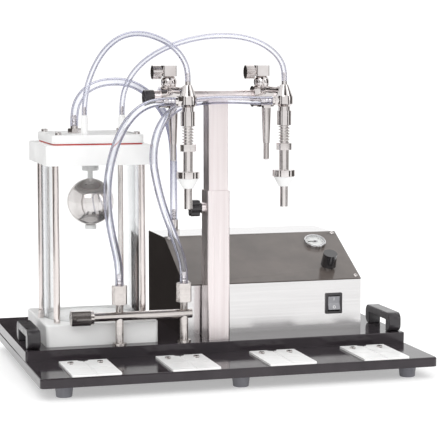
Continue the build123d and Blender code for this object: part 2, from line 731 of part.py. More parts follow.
with BuildPart() as tank_drain_plug:
    with BuildSketch(Plane.XY.offset(TANK_BASE_TOP - DRAIN_THREAD_DEPTH)):
        with Locations(DRAIN_PLACE):
            Circle(DRAIN_THREAD_RADIUS)
    extrude(amount=DRAIN_THREAD_DEPTH)
    with BuildSketch(Plane.XY.offset(TANK_BASE_TOP)):
        with Locations(DRAIN_PLACE):
            RegularPolygon(DRAIN_RADIUS, 6)
    extrude(amount=DRAIN_HEIGHT / 2)
    with BuildSketch(Plane.XY.offset(TANK_BASE_TOP + DRAIN_HEIGHT / 2)):
        with Locations(DRAIN_PLACE):
            Circle(DRAIN_TIP_RADIUS)
    extrude(amount=DRAIN_HEIGHT / 2)
finish(tank_drain_plug, "tank_drain_plug")

# ---------------------------------------------------------------- manifold
PIPE_TOP = MANIFOLD_Z + PIPE_RADIUS
POST_PLACES = [(x, MANIFOLD_Y) for x in POST_X]

with BuildPart() as manifold:
    with BuildSketch(Plane.YZ.offset(MANIFOLD_LEFT)):
        with Locations((MANIFOLD_Y, MANIFOLD_Z)):
            Circle(PIPE_RADIUS)
    extrude(amount=MANIFOLD_RIGHT - MANIFOLD_LEFT)
    with BuildSketch(Plane.XY.offset(DECK_TOP)):
        with Locations(*POST_PLACES):
            Circle(POST_RADIUS)
    extrude(amount=MANIFOLD_Z - DECK_TOP)
    with BuildSketch(Plane.XY.offset(DECK_TOP)):
        with Locations(*POST_PLACES):
            Circle(POST_FOOT_RADIUS)
    extrude(amount=POST_FOOT_THICK)
    with BuildSketch(Plane.YZ.offset(MANIFOLD_LEFT)):
        with Locations((MANIFOLD_Y, MANIFOLD_Z)):
            Circle(PIPE_BORE)
    extrude(amount=MANIFOLD_RIGHT - MANIFOLD_LEFT - PIPE_RADIUS, mode=Mode.SUBTRACT)
    with BuildSketch(Plane.XY.offset(MANIFOLD_Z)):
        with Locations(*POST_PLACES):
            Circle(TAIL_SPIGOT_RADIUS)
    extrude(amount=PIPE_RADIUS, mode=Mode.SUBTRACT)
finish(manifold, "manifold")

TAIL_NUT_BOTTOM = PIPE_TOP + TAIL_NECK_HEIGHT
TAIL_TOP = TAIL_NUT_BOTTOM + TAIL_NUT_HEIGHT

with BuildPart() as hose_tails:
    with BuildSketch(Plane.XY.offset(MANIFOLD_Z + PIPE_BORE)):
        with Locations(*POST_PLACES):
            Circle(TAIL_SPIGOT_RADIUS)
    extrude(amount=TAIL_TOP - MANIFOLD_Z - PIPE_BORE)
    with BuildSketch(Plane.XY.offset(PIPE_TOP)):
        with Locations(*POST_PLACES):
            Circle(TAIL_NECK_RADIUS)
    extrude(amount=TAIL_NECK_HEIGHT)
    with BuildSketch(Plane.XY.offset(TAIL_NUT_BOTTOM)):
        with Locations(*POST_PLACES):
            RegularPolygon(TAIL_NUT_RADIUS, 8)
    extrude(amount=TAIL_NUT_HEIGHT)
    with BuildSketch(Plane.XY.offset(MANIFOLD_Z + PIPE_BORE)):
        with Locations(*POST_PLACES):
            Circle(TAIL_SPIGOT_RADIUS / 2)
    extrude(amount=TAIL_TOP - MANIFOLD_Z - PIPE_BORE, mode=Mode.SUBTRACT)
finish(hose_tails, "hose_tails")

CAP_RIGHT = MANIFOLD_LEFT + CAP_OVERLAP
CAP_LEFT = CAP_RIGHT - CAP_LENGTH

with BuildPart() as manifold_cap:
    with BuildSketch(Plane.YZ.offset(CAP_LEFT)):
        with Locations((MANIFOLD_Y, MANIFOLD_Z)):
            RegularPolygon(CAP_HEX_RADIUS, 6)
    extrude(amount=CAP_LENGTH - CAP_COLLAR_LENGTH)
    with BuildSketch(Plane.YZ.offset(CAP_RIGHT - CAP_COLLAR_LENGTH)):
        with Locations((MANIFOLD_Y, MANIFOLD_Z)):
            Circle(CAP_COLLAR_RADIUS)
    extrude(amount=CAP_COLLAR_LENGTH)
    with BuildSketch(Plane.YZ.offset(MANIFOLD_LEFT - RUNNING_GAP)):
        with Locations((MANIFOLD_Y, MANIFOLD_Z)):
            Circle(PIPE_RADIUS + RUNNING_GAP)
    extrude(amount=CAP_OVERLAP + RUNNING_GAP, mode=Mode.SUBTRACT)
finish(manifold_cap, "manifold_cap")

# ---------------------------------------------------------------- lift column
COLUMN_PLACE = (0, COLUMN_Y)
KNOB_BOSS_END = -SLEEVE_WIDTH / 2 - KNOB_BOSS_LENGTH

with BuildPart() as column_sleeve:
    with BuildSketch(Plane.XY.offset(DECK_TOP)):
        with Locations(COLUMN_PLACE):
            RectangleRounded(SLEEVE_WIDTH, SLEEVE_DEPTH, SLEEVE_CORNER)
    extrude(amount=SLEEVE_TOP_Z - DECK_TOP)
    with BuildSketch(Plane.YZ.offset(-SLEEVE_WIDTH / 2 + SLEEVE_WALL / 2)):
        with Locations((COLUMN_Y, KNOB_Z)):
            Circle(KNOB_BOSS_RADIUS)
    extrude(amount=-KNOB_BOSS_LENGTH - SLEEVE_WALL / 2)
    with BuildSketch(Plane.XY.offset(DECK_TOP + SLEEVE_PLUG)):
        with Locations(COLUMN_PLACE):
            Rectangle(INNER_WIDTH, INNER_DEPTH)
    extrude(amount=SLEEVE_TOP_Z - DECK_TOP - SLEEVE_PLUG, mode=Mode.SUBTRACT)
    with BuildSketch(Plane.YZ.offset(KNOB_BOSS_END)):
        with Locations((COLUMN_Y, KNOB_Z)):
            Circle(KNOB_SCREW_RADIUS + RUNNING_GAP)
    extrude(amount=KNOB_BOSS_LENGTH + 2 * SLEEVE_WALL, mode=Mode.SUBTRACT)
finish(column_sleeve, "column_sleeve")

KNOB_FACE = KNOB_BOSS_END - KNOB_TIP_GAP

with BuildPart() as column_knob:
    with BuildSketch(Plane.YZ.offset(KNOB_FACE - KNOB_HUB_LENGTH)):
        with Locations((COLUMN_Y, KNOB_Z)):
            Circle(KNOB_CORE_RADIUS)
            with PolarLocations(KNOB_LOBE_CIRCLE, KNOB_LOBES):
                Circle(KNOB_LOBE_RADIUS)
    extrude(amount=-KNOB_THICK)
    fillet(column_knob.edges().group_by(Axis.X)[0], KNOB_EDGE)
    with BuildSketch(Plane.YZ.offset(KNOB_FACE)):
        with Locations((COLUMN_Y, KNOB_Z)):
            Circle(KNOB_HUB_RADIUS)
    extrude(amount=-KNOB_HUB_LENGTH)
    with BuildSketch(Plane.YZ.offset(KNOB_FACE)):
        with Locations((COLUMN_Y, KNOB_Z)):
            Circle(KNOB_SCREW_RADIUS)
    extrude(amount=-POST_WIDTH / 2 - KNOB_TIP_GAP - KNOB_FACE)
finish(column_knob, "column_knob")

with BuildPart() as head_post:
    with BuildSketch(Plane.XY.offset(POST_BOTTOM_Z)):
        with Locations(COLUMN_PLACE):
            RectangleRounded(POST_WIDTH, POST_DEPTH, SLEEVE_CORNER / 2)
            Rectangle(POST_WIDTH - 2 * POST_WALL, POST_DEPTH - 2 * POST_WALL, mode=Mode.SUBTRACT)
    extrude(amount=POST_TOP_Z - POST_BOTTOM_Z - POST_WALL)
    with BuildSketch(Plane.XY.offset(POST_TOP_Z - POST_WALL)):
        with Locations(COLUMN_PLACE):
            RectangleRounded(POST_WIDTH, POST_DEPTH, SLEEVE_CORNER / 2)
    extrude(amount=POST_WALL)
    with BuildSketch(Plane.YZ.offset(-CROSSBAR_LENGTH / 2)):
        with Locations((COLUMN_Y, CROSSBAR_Z)):
            Circle(CROSSBAR_RADIUS)
    extrude(amount=CROSSBAR_LENGTH)
    for end_x in (-CROSSBAR_LENGTH / 2, CROSSBAR_LENGTH / 2 - CROSSBAR_BORE_DEPTH):
        with BuildSketch(Plane.YZ.offset(end_x)):
            with Locations((COLUMN_Y, CROSSBAR_Z)):
                Circle(CROSSBAR_BORE)
        extrude(amount=CROSSBAR_BORE_DEPTH, mode=Mode.SUBTRACT)
finish(head_post, "head_post")

# ---------------------------------------------------------------- arms and nozzles
ROD_END_Y = NOZZLE_Y + BACK_BOSS_REACH - ARM_SOCKET_DEPTH
SPRING_TOP = NOZZLE_BARREL_LOW_Z - SPRING_END_GAP - SPRING_WIRE_RADIUS
SPRING_LOW = SLIDE_NUT_TOP_Z + SPRING_END_GAP + SPRING_WIRE_RADIUS
SPRING_MEAN_RADIUS = FILL_TUBE_RADIUS + SPRING_BORE_GAP + SPRING_WIRE_RADIUS
SLIDE_TUBE_RADIUS = FILL_TUBE_RADIUS + SLIDE_TUBE_WALL
CONE_LOW_RADIUS = FILL_TUBE_RADIUS + CONE_BORE_GAP + CONE_LIP_WALL
SLIDE_BORE = FILL_TUBE_RADIUS + SLIDE_GAP

for side_name, side in SIDES.items():
    x0 = side * NOZZLE_X

    with BuildPart() as arm:
        with BuildSketch(Plane.YZ.offset(x0 - ARM_COLLAR_WIDTH / 2)):
            with Locations((COLUMN_Y, CROSSBAR_Z)):
                Circle(ARM_COLLAR_RADIUS)
        extrude(amount=ARM_COLLAR_WIDTH)
        with Locations((x0, COLUMN_Y, ARM_HUB_Z)):
            Sphere(ARM_HUB_RADIUS)
        with BuildSketch(Plane.XY.offset(ARM_BLOCK_Z)):
            with Locations((x0, COLUMN_Y)):
                RectangleRounded(ARM_BLOCK_SIDE, ARM_BLOCK_SIDE, ARM_BLOCK_CORNER)
        extrude(amount=ARM_BLOCK_HEIGHT)
        with BuildSketch(Plane.XZ.offset(-COLUMN_Y)):
            with Locations((x0, ARM_ROD_Z)):
                Circle(ARM_ROD_RADIUS)
        extrude(amount=COLUMN_Y - ROD_END_Y)
        for ear_x in (x0 - EAR_GAP / 2 - EAR_THICK, x0 + EAR_GAP / 2):
            with BuildSketch(Plane.YZ.offset(ear_x)):
                with Locations((LEVER_PIVOT_Y, LEVER_PIVOT_Z)):
                    Circle(EAR_RADIUS)
                ear_run = COLUMN_Y - CROSSBAR_RADIUS - LEVER_PIVOT_Y
                with Locations((LEVER_PIVOT_Y + ear_run / 2, LEVER_PIVOT_Z)):
                    Rectangle(ear_run, 2 * EAR_RADIUS)
            extrude(amount=EAR_THICK)
        with BuildSketch(Plane.YZ.offset(x0 - ARM_COLLAR_WIDTH / 2)):
            with Locations((COLUMN_Y, CROSSBAR_Z)):
                Circle(CROSSBAR_RADIUS)
            with Locations((LEVER_PIVOT_Y, LEVER_PIVOT_Z)):
                Circle(LEVER_PIN_RADIUS + RUNNING_GAP)
        extrude(amount=ARM_COLLAR_WIDTH, mode=Mode.SUBTRACT)
        with BuildSketch(Plane.YZ.offset(x0 - ARM_BLOCK_SIDE / 2)):
            with Locations((COLUMN_Y, CLAMP_KNOB_Z)):
                Circle(CLAMP_SCREW_RADIUS + RUNNING_GAP)
        extrude(amount=CLAMP_SCREW_DEPTH + KNOB_TIP_GAP, mode=Mode.SUBTRACT)
    finish(arm, f"nozzle_arm_{side_name}")

    knob_face_x = x0 - ARM_BLOCK_SIDE / 2 - CLAMP_KNOB_STANDOFF
    with BuildPart() as clamp_knob:
        with BuildSketch(Plane.YZ.offset(knob_face_x)):
            with Locations((COLUMN_Y, CLAMP_KNOB_Z)):
                Circle(CLAMP_KNOB_RADIUS)
                with PolarLocations(CLAMP_KNOB_RADIUS, KNURL_COUNT):
                    Circle(KNURL_RADIUS, mode=Mode.SUBTRACT)
        extrude(amount=-CLAMP_KNOB_LENGTH)
        with BuildSketch(Plane.YZ.offset(knob_face_x)):
            with Locations((COLUMN_Y, CLAMP_KNOB_Z)):
                Circle(CLAMP_SCREW_RADIUS)
        extrude(amount=CLAMP_KNOB_STANDOFF + CLAMP_SCREW_DEPTH)
    finish(clamp_knob, f"clamp_knob_{side_name}")

    with BuildPart() as lever:
        with BuildSketch(Plane.YZ.offset(x0 - LEVER_EYE_WIDTH / 2)):
            with Locations((LEVER_PIVOT_Y, LEVER_PIVOT_Z)):
                Circle(LEVER_EYE_RADIUS)
            neck_run = LEVER_PIVOT_Z - LEVER_GRIP_TOP_Z
            with Locations((LEVER_PIVOT_Y, LEVER_PIVOT_Z - neck_run / 2)):
                Rectangle(LEVER_NECK_WIDTH, neck_run)
        extrude(amount=LEVER_EYE_WIDTH)
        with BuildSketch(Plane.XY.offset(LEVER_GRIP_LOW_Z)):
            with Locations((x0, LEVER_PIVOT_Y)):
                Circle(LEVER_LOW_RADIUS)
        with BuildSketch(Plane.XY.offset(LEVER_GRIP_TOP_Z)):
            with Locations((x0, LEVER_PIVOT_Y)):
                Circle(LEVER_TOP_RADIUS)
        loft()
        with BuildSketch(Plane.XY.offset(LEVER_GRIP_LOW_Z)):
            with Locations((x0, LEVER_PIVOT_Y)):
                Circle(LEVER_TIP_RADIUS)
        extrude(amount=LEVER_TIP_Z - LEVER_GRIP_LOW_Z)
        fillet(lever.edges().group_by(Axis.Z)[0], LEVER_TIP_EDGE)
        pin_half = EAR_GAP / 2 + EAR_THICK
        with BuildSketch(Plane.YZ.offset(x0 - pin_half)):
            with Locations((LEVER_PIVOT_Y, LEVER_PIVOT_Z)):
                Circle(LEVER_PIN_RADIUS)
        extrude(amount=2 * pin_half)
    finish(lever, f"valve_lever_{side_name}")

    axis_plane = Plane(origin=(x0, NOZZLE_Y, 0), x_dir=(1, 0, 0), z_dir=(0, -1, 0))
    nozzle_axis = Axis((x0, NOZZLE_Y, 0), (0, 0, 1))
    with BuildPart() as nozzle_body:
        with BuildSketch(axis_plane):
            with BuildLine():
                Polyline(
                    (0, NOZZLE_TOP_Z),
                    (NOZZLE_STUB_RADIUS, NOZZLE_TOP_Z),
                    (NOZZLE_STUB_RADIUS, NOZZLE_TOP_Z - NOZZLE_STUB_HEIGHT),
                    (NOZZLE_CONE_TOP_RADIUS, NOZZLE_TOP_Z - NOZZLE_STUB_HEIGHT),
                    (NOZZLE_BAND_RADIUS, NOZZLE_BAND_TOP_Z),
                    (NOZZLE_BAND_RADIUS, NOZZLE_BAND_LOW_Z),
                    (NOZZLE_NECK_RADIUS, NOZZLE_NECK_TOP_Z),
                    (NOZZLE_NECK_RADIUS, NOZZLE_BARREL_TOP_Z),
                    (NOZZLE_BARREL_RADIUS, NOZZLE_BARREL_TOP_Z),
                    (NOZZLE_BARREL_RADIUS, NOZZLE_BARREL_LOW_Z),
                    (FILL_TUBE_RADIUS, NOZZLE_BARREL_LOW_Z),
                    (FILL_TUBE_RADIUS, FILL_TUBE_TIP_Z),
                    (0, FILL_TUBE_TIP_Z),
                    close=True,
                )
            make_face()
        revolve(axis=nozzle_axis)
        with BuildSketch(Plane.YZ.offset(x0)):
            with Locations((NOZZLE_Y, HOSE_PORT_Z)):
                Circle(PORT_RADIUS)
        extrude(amount=-PORT_REACH)
        with BuildSketch(Plane.YZ.offset(x0)):
            with Locations((NOZZLE_Y, HOSE_PORT_Z)):
                RegularPolygon(PORT_NUT_RADIUS, 6)
        extrude(amount=-PORT_NUT_REACH)
        with BuildSketch(Plane.XZ.offset(-NOZZLE_Y)):
            with Locations((x0, ARM_ROD_Z)):
                Circle(BACK_BOSS_RADIUS)
        extrude(amount=-BACK_BOSS_REACH)
        with BuildSketch(Plane.XZ.offset(-ROD_END_Y)):
            with Locations((x0, ARM_ROD_Z)):
                Circle(ARM_ROD_RADIUS)
        extrude(amount=-ARM_SOCKET_DEPTH, mode=Mode.SUBTRACT)
        with BuildSketch(Plane.XY.offset(FILL_TUBE_TIP_Z)):
            with Locations((x0, NOZZLE_Y)):
                Circle(FILL_TUBE_BORE)
        extrude(amount=HOSE_PORT_Z - FILL_TUBE_TIP_Z, mode=Mode.SUBTRACT)
    finish(nozzle_body, f"nozzle_body_{side_name}")

    with BuildPart() as nozzle_spring:
        with BuildLine():
            coil = Helix(
                SPRING_PITCH,
                SPRING_TOP - SPRING_LOW,
                SPRING_MEAN_RADIUS,
                center=(x0, NOZZLE_Y, SPRING_LOW),
            )
        start = Plane(origin=coil @ 0, z_dir=coil % 0)
        with BuildSketch(start):
            Circle(SPRING_WIRE_RADIUS)
        sweep(path=coil, is_frenet=True)
    finish(nozzle_spring, f"nozzle_spring_{side_name}")

    with BuildPart() as slide:
        with BuildSketch(Plane.XY.offset(SLIDE_NUT_LOW_Z)):
            with Locations((x0, NOZZLE_Y)):
                RegularPolygon(SLIDE_NUT_RADIUS, 8)
        extrude(amount=SLIDE_NUT_TOP_Z - SLIDE_NUT_LOW_Z)
        with BuildSketch(Plane.XY.offset(SLIDE_DISC_TOP_Z)):
            with Locations((x0, NOZZLE_Y)):
                Circle(SLIDE_TUBE_RADIUS)
        extrude(amount=SLIDE_NUT_LOW_Z - SLIDE_DISC_TOP_Z)
        with BuildSketch(Plane.XY.offset(SLIDE_DISC_LOW_Z)):
            with Locations((x0, NOZZLE_Y)):
                Circle(SLIDE_DISC_RADIUS)
        extrude(amount=SLIDE_DISC_TOP_Z - SLIDE_DISC_LOW_Z)
        with BuildSketch(Plane.XY.offset(SLIDE_DISC_LOW_Z)):
            with Locations((x0, NOZZLE_Y)):
                Circle(SLIDE_BORE)
        extrude(amount=SLIDE_NUT_TOP_Z - SLIDE_DISC_LOW_Z, mode=Mode.SUBTRACT)
    finish(slide, f"nozzle_slide_{side_name}")

    with BuildPart() as cone:
        with BuildSketch(Plane.XY.offset(CONE_LOW_Z)):
            with Locations((x0, NOZZLE_Y)):
                Circle(CONE_LOW_RADIUS)
        with BuildSketch(Plane.XY.offset(SLIDE_DISC_LOW_Z)):
            with Locations((x0, NOZZLE_Y)):
                Circle(CONE_TOP_RADIUS)
        loft()
        with BuildSketch(Plane.XY.offset(CONE_LOW_Z)):
            with Locations((x0, NOZZLE_Y)):
                Circle(FILL_TUBE_RADIUS + CONE_BORE_GAP)
        extrude(amount=SLIDE_DISC_LOW_Z - CONE_LOW_Z, mode=Mode.SUBTRACT)
    finish(cone, f"nozzle_cone_{side_name}")

# ---------------------------------------------------------------- pump box
BOX_OUTLINE = [
    (BOX_FRONT_Y, DECK_TOP),
    (BOX_FRONT_Y, SLOPE_FOOT_Z),
    (BOX_SLOPE_BACK_Y, BOX_TOP),
    (BOX_BACK_Y, BOX_TOP),
    (BOX_BACK_Y, DECK_TOP),
]
FITTING_PLACE = (FITTING_X, FITTING_Y)
BOX_SCREWS_U = BOX_WIDTH / 2 - PANEL_LEDGE / 2
BOX_SCREWS_V = SLOPE_LENGTH / 2 - PANEL_LEDGE / 2

with BuildPart() as pump_box_cover:
    with BuildSketch(Plane.YZ.offset(BOX_LEFT)):
        Polygon(*BOX_OUTLINE, align=None)
    extrude(amount=BOX_WIDTH)
    with BuildSketch(Plane.YZ.offset(BOX_LEFT + SHEET)):
        Polygon(*BOX_OUTLINE, align=None)
        offset(amount=-SHEET, kind=Kind.INTERSECTION, mode=Mode.REPLACE)
    extrude(amount=BOX_WIDTH - 2 * SHEET, mode=Mode.SUBTRACT)
    with BuildSketch(Plane.XY.offset(DECK_TOP)):
        with Locations((BOX_CENTRE_X, (BOX_FRONT_Y + BOX_BACK_Y) / 2)):
            Rectangle(BOX_WIDTH - 2 * SHEET, BOX_BACK_Y - BOX_FRONT_Y - 2 * SHEET)
    extrude(amount=2 * SHEET, mode=Mode.SUBTRACT)
    with BuildSketch(SLOPE):
        Rectangle(BOX_WIDTH - 2 * PANEL_LEDGE, SLOPE_LENGTH - 2 * PANEL_LEDGE)
        with GridLocations(2 * BOX_SCREWS_U, 2 * BOX_SCREWS_V, 2, 2):
            Circle(SCREW_RADIUS)
    extrude(amount=-2 * SHEET, mode=Mode.SUBTRACT)
    with BuildSketch(Plane.XZ.offset(-BOX_FRONT_Y)):
        with Locations((CONTROLS_X, SWITCH_Z)):
            Rectangle(SWITCH_BODY_WIDTH, SWITCH_BODY_HEIGHT)
    extrude(amount=-SHEET, mode=Mode.SUBTRACT)
    with BuildSketch(Plane.XZ.offset(-BOX_BACK_Y)):
        with Locations((INLET_X, INLET_Z)):
            Rectangle(INLET_BODY_WIDTH, INLET_BODY_HEIGHT)
    extrude(amount=SHEET, mode=Mode.SUBTRACT)
    with BuildSketch(Plane.XY.offset(BOX_TOP)):
        with Locations(FITTING_PLACE):
            Circle(FITTING_THREAD_RADIUS)
    extrude(amount=-SHEET, mode=Mode.SUBTRACT)
    with BuildSketch(Plane.XZ.offset(-BOX_BACK_Y)):
        with Locations((PUMP_MOTOR_LEFT, PUMP_Z)):
            with GridLocations(0, VENT_PITCH, 1, VENT_COUNT):
                SlotOverall(VENT_LENGTH, VENT_WIDTH)
    extrude(amount=SHEET, mode=Mode.SUBTRACT)
finish(pump_box_cover, "pump_box_cover")

with BuildPart() as pump_box_floor:
    with BuildSketch(Plane.XY.offset(DECK_TOP)):
        with Locations((BOX_CENTRE_X, (BOX_FRONT_Y + BOX_BACK_Y) / 2)):
            Rectangle(BOX_WIDTH - 2 * SHEET, BOX_BACK_Y - BOX_FRONT_Y - 2 * SHEET)
    extrude(amount=FLOOR_THICK)
finish(pump_box_floor, "pump_box_floor")

with BuildPart() as control_panel:
    with BuildSketch(SLOPE):
        Rectangle(BOX_WIDTH, SLOPE_LENGTH)
        with Locations((CONTROLS_U, GAUGE_V)):
            Circle(GAUGE_CASE_RADIUS, mode=Mode.SUBTRACT)
        with Locations((CONTROLS_U, REGULATOR_V)):
            Circle(REGULATOR_BUSH_RADIUS, mode=Mode.SUBTRACT)
        with GridLocations(2 * BOX_SCREWS_U, 2 * BOX_SCREWS_V, 2, 2):
            Circle(SCREW_RADIUS, mode=Mode.SUBTRACT)
    extrude(amount=PANEL_THICK)
finish(control_panel, "control_panel")

PANEL_FACE = SLOPE.offset(PANEL_THICK)

with BuildPart() as panel_screws:
    with BuildSketch(PANEL_FACE):
        with GridLocations(2 * BOX_SCREWS_U, 2 * BOX_SCREWS_V, 2, 2):
            Circle(SCREW_HEAD_RADIUS)
    extrude(amount=SCREW_HEAD_HEIGHT)
    with BuildSketch(PANEL_FACE):
        with GridLocations(2 * BOX_SCREWS_U, 2 * BOX_SCREWS_V, 2, 2):
            Circle(SCREW_RADIUS)
    extrude(amount=-SCREW_LENGTH)
finish(panel_screws, "panel_screws")

# ---------------------------------------------------------------- gauge
GAUGE_FRONT = PANEL_FACE.offset(GAUGE_BEZEL_HEIGHT)
DIAL_PLANE = GAUGE_FRONT.offset(-GAUGE_RECESS_DEPTH)
GAUGE_PLACE = (CONTROLS_U, GAUGE_V)

with BuildPart() as gauge_body:
    with BuildSketch(PANEL_FACE):
        with Locations(GAUGE_PLACE):
            Circle(GAUGE_BEZEL_RADIUS)
    extrude(amount=GAUGE_BEZEL_HEIGHT)
    fillet(gauge_body.edges().filter_by(GeomType.CIRCLE).sort_by(Axis.Z)[-1], GAUGE_EDGE)
    with BuildSketch(PANEL_FACE):
        with Locations(GAUGE_PLACE):
            Circle(GAUGE_CASE_RADIUS)
    extrude(amount=-GAUGE_CASE_DEPTH)
    with BuildSketch(PANEL_FACE.offset(-GAUGE_CASE_DEPTH)):
        with Locations(GAUGE_PLACE):
            Circle(GAUGE_STEM_RADIUS)
    extrude(amount=-GAUGE_STEM_LENGTH)
    with BuildSketch(DIAL_PLANE):
        with Locations(GAUGE_PLACE):
            Circle(GAUGE_RECESS_RADIUS)
    extrude(amount=GAUGE_RECESS_DEPTH, mode=Mode.SUBTRACT)
    with BuildSketch(DIAL_PLANE):
        with Locations(GAUGE_PLACE):
            Circle(NEEDLE_PIN_RADIUS)
    extrude(amount=NEEDLE_LIFT + 2 * NEEDLE_THICK)
finish(gauge_body, "gauge_body")

with BuildPart() as gauge_needle:
    with BuildSketch(DIAL_PLANE.offset(NEEDLE_LIFT)):
        with Locations(GAUGE_PLACE):
            Circle(NEEDLE_HUB_RADIUS)
        with Locations((CONTROLS_U - (NEEDLE_LENGTH - NEEDLE_TAIL) / 2, GAUGE_V)):
            Rectangle(NEEDLE_LENGTH + NEEDLE_TAIL, NEEDLE_WIDTH)
        with Locations(GAUGE_PLACE):
            Circle(NEEDLE_PIN_RADIUS + RUNNING_GAP, mode=Mode.SUBTRACT)
    extrude(amount=NEEDLE_THICK)
finish(gauge_needle, "gauge_needle")

# ---------------------------------------------------------------- regulator
REGULATOR_PLACE = (CONTROLS_U, REGULATOR_V)
BUSH_FACE = PANEL_FACE.offset(REGULATOR_BUSH_HEIGHT)
KNOB_SEAT = BUSH_FACE.offset(REGULATOR_KNOB_GAP)
KNOB_CROWN = KNOB_SEAT.offset(REGULATOR_KNOB_HEIGHT)

with BuildPart() as regulator_body:
    with BuildSketch(SLOPE):
        with Locations(REGULATOR_PLACE):
            Circle(REGULATOR_BODY_RADIUS)
    extrude(amount=-REGULATOR_BODY_DEPTH)
    with BuildSketch(SLOPE):
        with Locations(REGULATOR_PLACE):
            Circle(REGULATOR_BUSH_RADIUS)
    extrude(amount=PANEL_THICK + REGULATOR_BUSH_HEIGHT)
    with BuildSketch(BUSH_FACE):
        with Locations(REGULATOR_PLACE):
            Circle(REGULATOR_SPINDLE_RADIUS + RUNNING_GAP)
    extrude(amount=-REGULATOR_SPINDLE_DEPTH - REGULATOR_KNOB_GAP, mode=Mode.SUBTRACT)
finish(regulator_body, "regulator_body")

with BuildPart() as regulator_knob:
    with BuildSketch(KNOB_SEAT):
        with Locations(REGULATOR_PLACE):
            Circle(REGULATOR_KNOB_RADIUS)
    with BuildSketch(KNOB_CROWN):
        with Locations(REGULATOR_PLACE):
            Circle(REGULATOR_KNOB_TOP_RADIUS)
    loft()
    with BuildSketch(KNOB_SEAT):
        with Locations(REGULATOR_PLACE):
            with PolarLocations(REGULATOR_KNOB_RADIUS + KNURL_RADIUS / 2, KNURL_COUNT):
                Circle(KNURL_RADIUS)
    extrude(amount=REGULATOR_GRIP_HEIGHT, mode=Mode.SUBTRACT)
    with BuildSketch(KNOB_SEAT):
        with Locations(REGULATOR_PLACE):
            Circle(REGULATOR_SPINDLE_RADIUS)
    extrude(amount=-REGULATOR_SPINDLE_DEPTH)
finish(regulator_knob, "regulator_knob")

# ---------------------------------------------------------------- rocker switch
SWITCH_PLACE = (CONTROLS_X, SWITCH_Z)
BEZEL_FRONT = BOX_FRONT_Y - SWITCH_BEZEL
ROCKER_PIVOT_Y = BOX_FRONT_Y + ROCKER_PIN_RADIUS
ROCKER_HALF = ROCKER_HEIGHT / 2 - ROCKER_EDGE

with BuildPart() as switch_frame:
    with BuildSketch(Plane.XZ.offset(-BOX_FRONT_Y)):
        with Locations(SWITCH_PLACE):
            RectangleRounded(SWITCH_WIDTH, SWITCH_HEIGHT, SWITCH_CORNER)
    extrude(amount=SWITCH_BEZEL)
    with BuildSketch(Plane.XZ.offset(-BOX_FRONT_Y)):
        with Locations(SWITCH_PLACE):
            Rectangle(SWITCH_BODY_WIDTH, SWITCH_BODY_HEIGHT)
    extrude(amount=-SWITCH_BODY_DEPTH)
    with BuildSketch(Plane.XZ.offset(-BEZEL_FRONT)):
        with Locations(SWITCH_PLACE):
            Rectangle(ROCKER_WIDTH + 2 * ROCKER_GAP, ROCKER_HEIGHT + 2 * ROCKER_TOP_GAP)
    extrude(amount=-ROCKER_CAVITY_DEPTH - SWITCH_BEZEL, mode=Mode.SUBTRACT)
    with BuildSketch(Plane.YZ.offset(CONTROLS_X - SWITCH_BODY_WIDTH / 2)):
        with Locations((ROCKER_PIVOT_Y, SWITCH_Z)):
            Circle(ROCKER_PIN_RADIUS)
    extrude(amount=SWITCH_BODY_WIDTH)
finish(switch_frame, "switch_frame")

with BuildPart() as switch_rocker:
    with BuildSketch(Plane.YZ.offset(CONTROLS_X - ROCKER_WIDTH / 2)):
        with Locations((ROCKER_PIVOT_Y, SWITCH_Z)):
            with Locations(Location((0, 0), -ROCKER_TILT)):
                Polygon(
                    (-ROCKER_FRONT, ROCKER_HALF),
                    (-ROCKER_HOLLOW, 0),
                    (-ROCKER_FRONT, -ROCKER_HALF),
                    (ROCKER_HEEL, -ROCKER_HALF),
                    (ROCKER_TAIL, -ROCKER_TAIL_HALF),
                    (ROCKER_TAIL, ROCKER_TAIL_HALF),
                    (ROCKER_HEEL, ROCKER_HALF),
                    align=None,
                )
            Circle(ROCKER_PIN_RADIUS + RUNNING_GAP, mode=Mode.SUBTRACT)
    extrude(amount=ROCKER_WIDTH)
finish(switch_rocker, "switch_rocker")

# ---------------------------------------------------------------- vacuum pump
FLOOR_TOP = DECK_TOP + FLOOR_THICK
PUMP_PLACE = (PUMP_Y, PUMP_Z)

